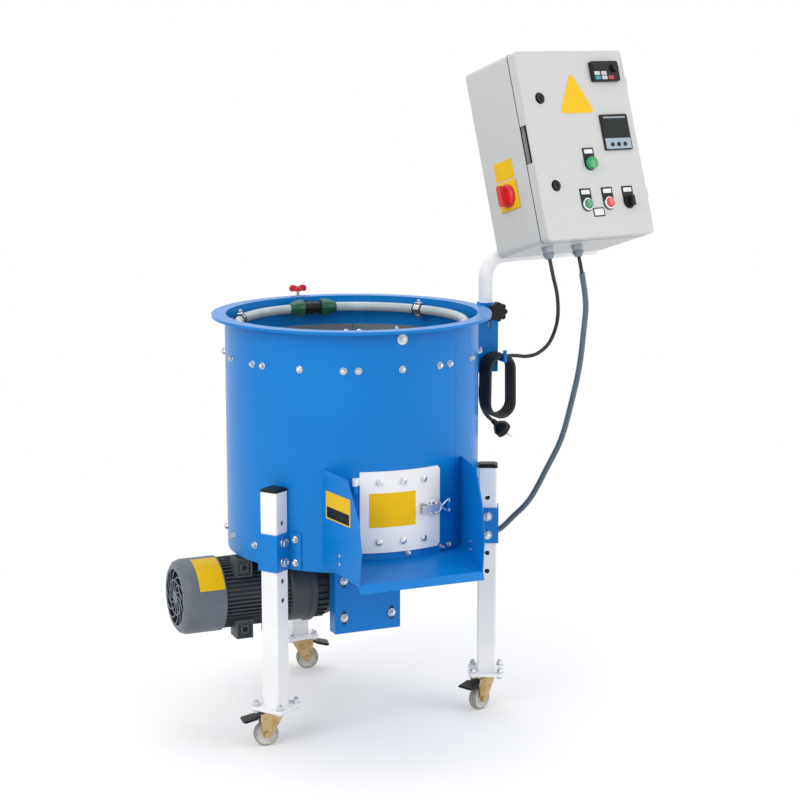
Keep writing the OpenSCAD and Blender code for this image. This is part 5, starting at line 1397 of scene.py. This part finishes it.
class HULLER_OT_hose_clamps(bpy.types.Operator):
    """Rubber linings, lugs and screws of the hose clamps, and their washers on the drum's outside"""

    bl_idname = "huller.hose_clamps"
    bl_label = "Hose Clamps"

    TURNS = (0.0, 120.0, 240.0)
    # The band's radius, the lug's height over it and depth into it, and half its width and length.
    BAND_OUT, LUG, LUG_SUNK, LUG_W, LUG_L = 11.8, 3.0, 0.6, 5.5, 7.6
    # Half a section of the lining on one side of the band, as radius and place along the hose.
    LINING = ((10.05, 8.1), (12.4, 8.1), (12.9, 9.4), (12.4, 10.8), (10.05, 10.8), (10.05, 8.1))
    SCREW = {**HEX_NUT, "Nut": 8.5, "Nut_Height": 4.0, "Washer": 10.0, "Tip": 5.0}
    OUTER_NUT = {**HEX_NUT, "Nut": 12.6, "Nut_Height": 4.2, "Washer": 14.0, "Washer_Height": 2.2}
    PLASTIC_WASHER = {
        **HEX_NUT, "Nut": 11.0, "Nut_Height": 0.4, "Washer": 22.0, "Washer_Height": 1.8, "Tip_Height": 0.4,
    }

    def execute(self, context):
        made = Fastener()
        bm = bmesh.new()
        top = self.BAND_OUT + self.LUG
        screws, washers = [], []
        for turn in self.TURNS:
            out = Vector((*turned(0, -1, turn), 0))
            for way in (-1, 1):
                screws.append((out * RING_R + Vector((0, 0, RING_Z + way * top)), Vector((0, 0, way))))
            washers.append((out * DRUM_R + Vector((0, 0, RING_Z)), out))
        bolts(bm, made, screws, **self.SCREW)
        bolts(bm, made, washers, **self.OUTER_NUT)
        bolts(bm, made, washers, "label_white", 2, **self.PLASTIC_WASHER)
        for turn in self.TURNS:
            lining = Shape(along_hose(turn))
            for way in (-1, 1):
                lining.turn([(r, way * z) for r, z in self.LINING], coat=1)
                low, high = sorted((way * (self.BAND_OUT - self.LUG_SUNK), way * top))
                lining.block((low, -self.LUG_W, -self.LUG_L), (high, self.LUG_W, self.LUG_L), 0, 0.8)
            lining.join(bm)
        shade_smooth(bm)
        finishes = "bolt_steel", "black_rubber", "label_white"
        settled("clamp_dressing", bm, "base", finishes, sharp=SHARP)
        return {"FINISHED"}


class HULLER_OT_latch(bpy.types.Operator):
    """The latch's forked draw hook"""

    bl_idname = "huller.latch"
    bl_label = "Latch"

    TURN = 14.0
    # The hook's pin, an arm and a prong of its fork, as places along the door, out of it and up.
    PIN, PIN_R, WIRE_R = ((-4, 6.5, -14.5), (-4, 6.5, 14.5)), 1.5, 1.9
    ARM = ((-4, 6.5, 13), (4, 7.0, 13), (12, 7.5, 12.6), (17, 7.8, 8.0), (20, 8.0, 3.0), (23, 8.1, 0.6))
    FORK = (
        (18, 7.9, 0), (24, 8.2, 3.0), (31, 8.6, 8.4), (37, 8.9, 12.0), (40.2, 9.0, 12.4), (41.0, 9.0, 10.4),
        (40.6, 9.0, 7.0),
    )

    def execute(self, context):
        low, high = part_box("latch_base")
        middle = (low[2] + high[2]) / 2 / MM
        place = (
            MACHINE @ Matrix.Rotation(math.radians(self.TURN), 4, "Z")
            @ Matrix.Translation((0, -DOOR_OUT, middle)) @ Matrix.Diagonal((1, -1, 1, 1))
        )
        bm = bmesh.new()
        lines = [(self.PIN, self.PIN_R)]
        for way in (-1, 1):
            lines += [([(x, y, way * z) for x, y, z in line], self.WIRE_R) for line in (self.ARM, self.FORK)]
        for route, r in lines:
            part = tube_mesh("hook", [place @ p for p in smooth(route, steps=6)], r * MM)
            bm.from_mesh(part)
            bpy.data.meshes.remove(part)
        settled("latch_hook", bm, "bail", ("latch_zinc",), ("latch_bail",), sharp=math.pi)
        return {"FINISHED"}


class HULLER_OT_water_fittings(bpy.types.Operator):
    """The valve's winged handle and the ribbed nuts of the hose coupling"""

    bl_idname = "huller.water_fittings"
    bl_label = "Water Fittings"

    # The handle's wings: their middles, radius and half thickness, and the arc that is drawn of each.
    WING, WING_UP, WING_R, WING_T, WING_ARC, WING_STEPS = 11.5, 6.5, 8.0, 4.2, (-60, 140), 14
    # The handle's hub, the notch above its middle, half its foot and the foot's height.
    HUB, NOTCH, FOOT, FOOT_UP = 9.0, 11.0, 8.0, 1.0
    BODY_HALF = 19.8
    # Half a section of a coupling nut, as radius and place along the hose.
    NUT = (
        (11.4, 19.6), (16.6, 19.6), (18.0, 21.0), (18.0, 31.0), (16.8, 38.0), (14.2, 46.0), (12.0, 52.0),
        (11.0, 53.0), (10.3, 53.0), (11.4, 19.6),
    )
    RIBS, RIB_AT, RIB_FROM, RIB_R, RIB_LONG, RIB_LEAN = 18, 17.6, 22.0, 1.1, 11.0, -0.1

    def execute(self, context):
        self.handle()
        self.coupling()
        return {"FINISHED"}

    def handle(self):
        low, high = map(in_mm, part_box("valve_handle"))
        middle = (low + high) / 2
        made = Shape(MACHINE @ facing((1, 0, 0), (0, 0, 1), (0, -1, 0), (middle.x, middle.y, low.z)))
        made.rod((0, 0, 0), (0, self.HUB, 0), self.HUB, edge=1.2)
        start, end = self.WING_ARC
        step = (end - start) / self.WING_STEPS
        arc = [turned(self.WING_R, 0, start + step * k) for k in range(self.WING_STEPS + 1)]
        right = [(self.WING + x, self.WING_UP + y) for x, y in arc]
        left = [(-x, y) for x, y in reversed(right)]
        outline = right + [(0, self.NOTCH)] + left + [(-self.FOOT, self.FOOT_UP), (self.FOOT, self.FOOT_UP)]
        made.slab(outline, -self.WING_T, self.WING_T, 0, 1.4)
        made.done("valve_handle_winged", "valve_lever", "valve_red", stands_for=("valve_handle",))

    @staticmethod
    def bend(x):
        """How far the hose ring has left its tangent at a distance from the coupling's middle."""
        return math.sqrt(RING_R**2 - x * x) - RING_R

    def coupling(self):
        bm = merged("hose_coupling")
        for way in (-1, 1):
            cut_tube(bm, way * self.BODY_HALF, way)
        for face in bm.faces:
            face.material_index, face.smooth = 0, True
        place = MACHINE @ Matrix.Translation((0, RING_R, RING_Z)) @ Matrix.Rotation(math.pi / 2, 4, "Y")
        ribs = []
        for way in (-1, 1):
            nut = Shape(place)
            nut.turn([(r, way * x) for r, x in self.NUT], coat=1)
            for vert in nut.bm.verts:
                vert.co.y += self.bend(vert.co.z)
            nut.join(bm)
            x = way * self.RIB_FROM
            for k in range(self.RIBS):
                y, z = turned(self.RIB_AT, 0, 360 * k / self.RIBS)
                foot = Vector((x, RING_R + self.bend(x) + y, RING_Z + z))
                ribs.append((foot, Vector((way, self.RIB_LEAN, 0))))
        bolts(bm, Rib(), ribs, "nut_green", 1, Radius=self.RIB_R, Length=self.RIB_LONG)
        replaced("hose_coupling", "hose_coupling_moulded", bm, ("black_plastic", "nut_green"))


class HULLER_OT_motor(bpy.types.Operator):
    """The motor's finned casing with its pads and end shield, and the short fan cowl"""

    bl_idname = "huller.motor"
    bl_label = "Motor"

    COWL_END = -295.0
    # Fins of the casing and of its neck: their ends along the axis, lowest and greatest radius, and count.
    FINS, FIN_T = ((-301.0, -152.0, 66.0, 75.0, 52), (-92.5, -66.0, 69.0, 75.0, 30)), 2.4
    # Half a section of the casing, as radius and place along the axis.
    CASING = (
        (62.0, -303.0), (67.0, -303.0), (67.0, -152.0), (72.5, -151.0), (75.4, -147.0), (76.0, -138.0),
        (76.0, -108.0), (79.2, -107.0), (80.0, -106.0), (80.0, -95.0), (79.2, -94.0), (70.0, -93.0),
        (70.0, -64.5), (62.0, -64.5), (62.0, -303.0),
    )
    AROUND = 72
    PADS, PAD_UP, PAD_W, PAD_H = (-254.0, -186.0), 66.0, 36.0, 40.0
    PAD_FRONT, PAD_BACK, PAD_SUNK, PAD_RIM = -28.0, 14.0, 5.0, 4.0
    # A pad's boss, the screw in it and its ribs, which run from beside the boss to the rim.
    BOSS_R, SCREW_R, RIB_R, RIB_FROM, RIB_END = 9.5, 6.0, 2.4, (5.5, 6.0), 3.0
    # The seat of the terminal box behind the casing.
    SEAT = (-190, 98, 240), (-94, 119.5, 306)

    def execute(self, context):
        self.cowl()
        casing = Shape(MOTOR)
        casing.turn(self.CASING, around=self.AROUND)
        bm = bmesh.new()
        casing.join(bm)
        pads = Shape()
        for x in self.PADS:
            for way in (-1, 1):
                self.pad(pads, x, MOTOR_Z + way * self.PAD_UP)
        pads.block(*self.SEAT, 0, 2.0)
        pads.join(bm)
        fin = Fin()
        for start, end, low, top, count in self.FINS:
            ways = [Vector((0, *turned(1, 0, 360 * (k + 0.5) / count))) for k in range(count)]
            middle = Vector(((start + end) / 2, MOTOR_Y, MOTOR_Z))
            bolts(
                bm, fin, [(middle + way * (low + top) / 2, way) for way in ways], "motor_grey",
                Length=end - start, Thickness=self.FIN_T, Height=top - low,
            )
        replaced("motor_frame", "motor_casing", bm, ("motor_grey", "label_black"))
        return {"FINISHED"}

    def pad(self, made, x, z):
        """A foot pad: a rim, a boss and four ribs over a sunk face."""
        front, sunk = self.PAD_FRONT, self.PAD_FRONT + self.PAD_SUNK
        w, h = self.PAD_W / 2, self.PAD_H / 2
        made.block((x - w, sunk, z - h), (x + w, self.PAD_BACK, z + h), 0, 1.0)
        for way in (-1, 1):
            near, far = sorted((way * (w - 0.1), way * (w - self.PAD_RIM)))
            made.block((x + near, front, z - h + 0.2), (x + far, sunk + 1.2, z + h - 0.2), 0, 0.8)
            near, far = sorted((way * (h - 0.1), way * (h - self.PAD_RIM)))
            made.block((x - w + 1.5, front + 0.1, z + near), (x + w - 1.5, sunk + 1.4, z + far), 0, 0.8)
            for side in (-1, 1):
                start, end = (
                    (x + way * across, sunk, z + side * up)
                    for across, up in (self.RIB_FROM, (w - self.RIB_END, h - self.RIB_END))
                )
                made.rod(start, end, self.RIB_R, sides=8)
        made.rod((x, sunk + 1, z), (x, front, z), self.BOSS_R, edge=0.8)
        made.rod((x, sunk, z), (x, front - 0.05, z), self.SCREW_R, 1)

    def cowl(self):
        bm = merged("fan_cowl")
        cut_tube(bm, self.COWL_END, 1)
        shade_smooth(bm)
        replaced("fan_cowl", "fan_cowl_short", bm, ("cowl_grey",))


class HULLER_OT_stage(bpy.types.Operator):
    """The camera at the photograph's view, a pale floor and soft studio light"""

    bl_idname = "huller.stage"
    bl_label = "Stage"

    CAMERA_AT = (-1551.0, -3839.0, 1436.0)
    HEADING, PITCH = 23.39, 10.49
    LENS, SENSOR, FAR = 90.04, 36.0, 60.0
    # Lamps: place, size and power, all turned to one point.
    LAMPS = {
        "key": ((-3.3, -1.9, 2.8), 2.4, 62.0),
        "fill": ((2.8, -2.6, 2.0), 2.6, 42.0),
        "top": ((0.4, 1.2, 4.0), 3.0, 46.0),
    }
    AIM = Vector((0.0, 0.0, 0.6))
    # Half the floor's width, its own light near the machine, and where it runs into the white.
    FLOOR_HALF, FLOOR_GLOW, WHITE_FROM = 14.0, 0.16, (0.7, 1.5)
    WHITE, SKY, BACKGROUND = (1, 1, 1, 1), 0.78, 1.0

    def execute(self, context):
        scene = context.scene
        scene.view_settings.view_transform = "Standard"
        camera = bpy.data.cameras.new("photo_view")
        camera.lens, camera.sensor_width, camera.clip_end = self.LENS, self.SENSOR, self.FAR
        seen = bpy.data.objects.new("photo_view", camera)
        scene.collection.objects.link(seen)
        seen.location = at(*self.CAMERA_AT)
        seen.rotation_euler = (math.radians(90 - self.PITCH), 0.0, math.radians(-self.HEADING))
        scene.camera = seen
        self.floor()
        self.world(scene)
        for name, (place, size, power) in self.LAMPS.items():
            light = bpy.data.lights.new(name, "AREA")
            light.size, light.energy = size, power
            made = bpy.data.objects.new(name, light)
            made.location = place
            made.rotation_euler = (self.AIM - Vector(place)).to_track_quat("-Z", "Y").to_euler()
            scene.collection.objects.link(made)
        return {"FINISHED"}

    @staticmethod
    def seen_directly(made):
        """1 for rays of the camera, of reflections and of glass, which see the plain background."""
        path = made.node("LightPath", output="Is Camera Ray")
        rays = path.socket.node.outputs
        glossy, clear = Value(made, rays["Is Glossy Ray"]), Value(made, rays["Is Transmission Ray"])
        return path + glossy + clear

    def floor(self):
        bm = bmesh.new()
        half = self.FLOOR_HALF
        square = (-half, -half), (half, -half), (half, half), (-half, half)
        bm.faces.new([bm.verts.new((x, y, 0.0)) for x, y in square])
        mesh = finished_mesh("floor", bm)
        made = Finish("floor_white")
        made.set(Base_Color=(0.80, 0.80, 0.80, 1.0), Roughness=0.9, Specular_IOR_Level=0.0)
        matt = Value(made, made.shader.outputs[0])
        glow, white = (
            made.node("Emission", sockets={"Color": self.WHITE, "Strength": strength})
            for strength in (self.FLOOR_GLOW, self.BACKGROUND)
        )
        near = made.node("AddShader", sockets={0: matt, 1: glow})
        away = made.node("VectorMath", {"operation": "LENGTH"}, {0: made.place}, "Value")
        lit = made.node("MixShader", sockets={0: made.mask(away, *self.WHITE_FROM), 1: near, 2: white})
        shown = made.node("MixShader", sockets={0: self.seen_directly(made), 1: matt, 2: lit})
        made.feed(made.output.inputs[0], shown)
        ground = bpy.data.objects.new("floor", mesh)
        mesh.materials.append(made.material)
        bpy.context.scene.collection.objects.link(ground)

    def world(self, scene):
        scene.world = bpy.data.worlds.new("studio")
        scene.world.use_nodes = True
        made = Graph(scene.world.node_tree)
        dim, plain = (
            made.node("Background", sockets={"Color": self.WHITE, "Strength": strength})
            for strength in (self.SKY, self.BACKGROUND)
        )
        shown = made.node("MixShader", sockets={0: self.seen_directly(made), 1: dim, 2: plain})
        made.node("OutputWorld", sockets={0: shown})


OPERATORS = (
    HULLER_OT_stage,
    HULLER_OT_mains_lead,
    HULLER_OT_motor_conduit,
    HULLER_OT_frame_finishes,
    HULLER_OT_fasteners,
    HULLER_OT_control_panel,
    HULLER_OT_stickers,
    HULLER_OT_cabinet_fittings,
    HULLER_OT_hose_clamps,
    HULLER_OT_latch,
    HULLER_OT_water_fittings,
    HULLER_OT_motor,
)


class HULLER_PT_panel(bpy.types.Panel):
    """Lists the machine's groups and their values"""

    bl_idname = "HULLER_PT_panel"
    bl_label = "Walnut Huller"
    bl_space_type = "VIEW_3D"
    bl_region_type = "UI"
    bl_category = "Huller"

    def draw(self, context):
        for group in (context.scene.huller_colours, context.scene.huller_sizes):
            box = self.layout.box()
            for name in group.__annotations__:
                box.prop(group, name)
        for operator in OPERATORS:
            self.layout.operator(operator.bl_idname)


CLASSES = (HullerColours, HullerSizes, *OPERATORS, HULLER_PT_panel)


def register():
    for cls in CLASSES:
        bpy.utils.register_class(cls)
    bpy.types.Scene.huller_colours = PointerProperty(type=HullerColours)
    bpy.types.Scene.huller_sizes = PointerProperty(type=HullerSizes)


def unregister():
    del bpy.types.Scene.huller_sizes
    del bpy.types.Scene.huller_colours
    for cls in reversed(CLASSES):
        bpy.utils.unregister_class(cls)


def main():
    register()
    make_finishes()
    for operator in OPERATORS:
        group, name = operator.bl_idname.split(".")
        getattr(getattr(bpy.ops, group), name)()


if __name__ == "__main__":
    main()
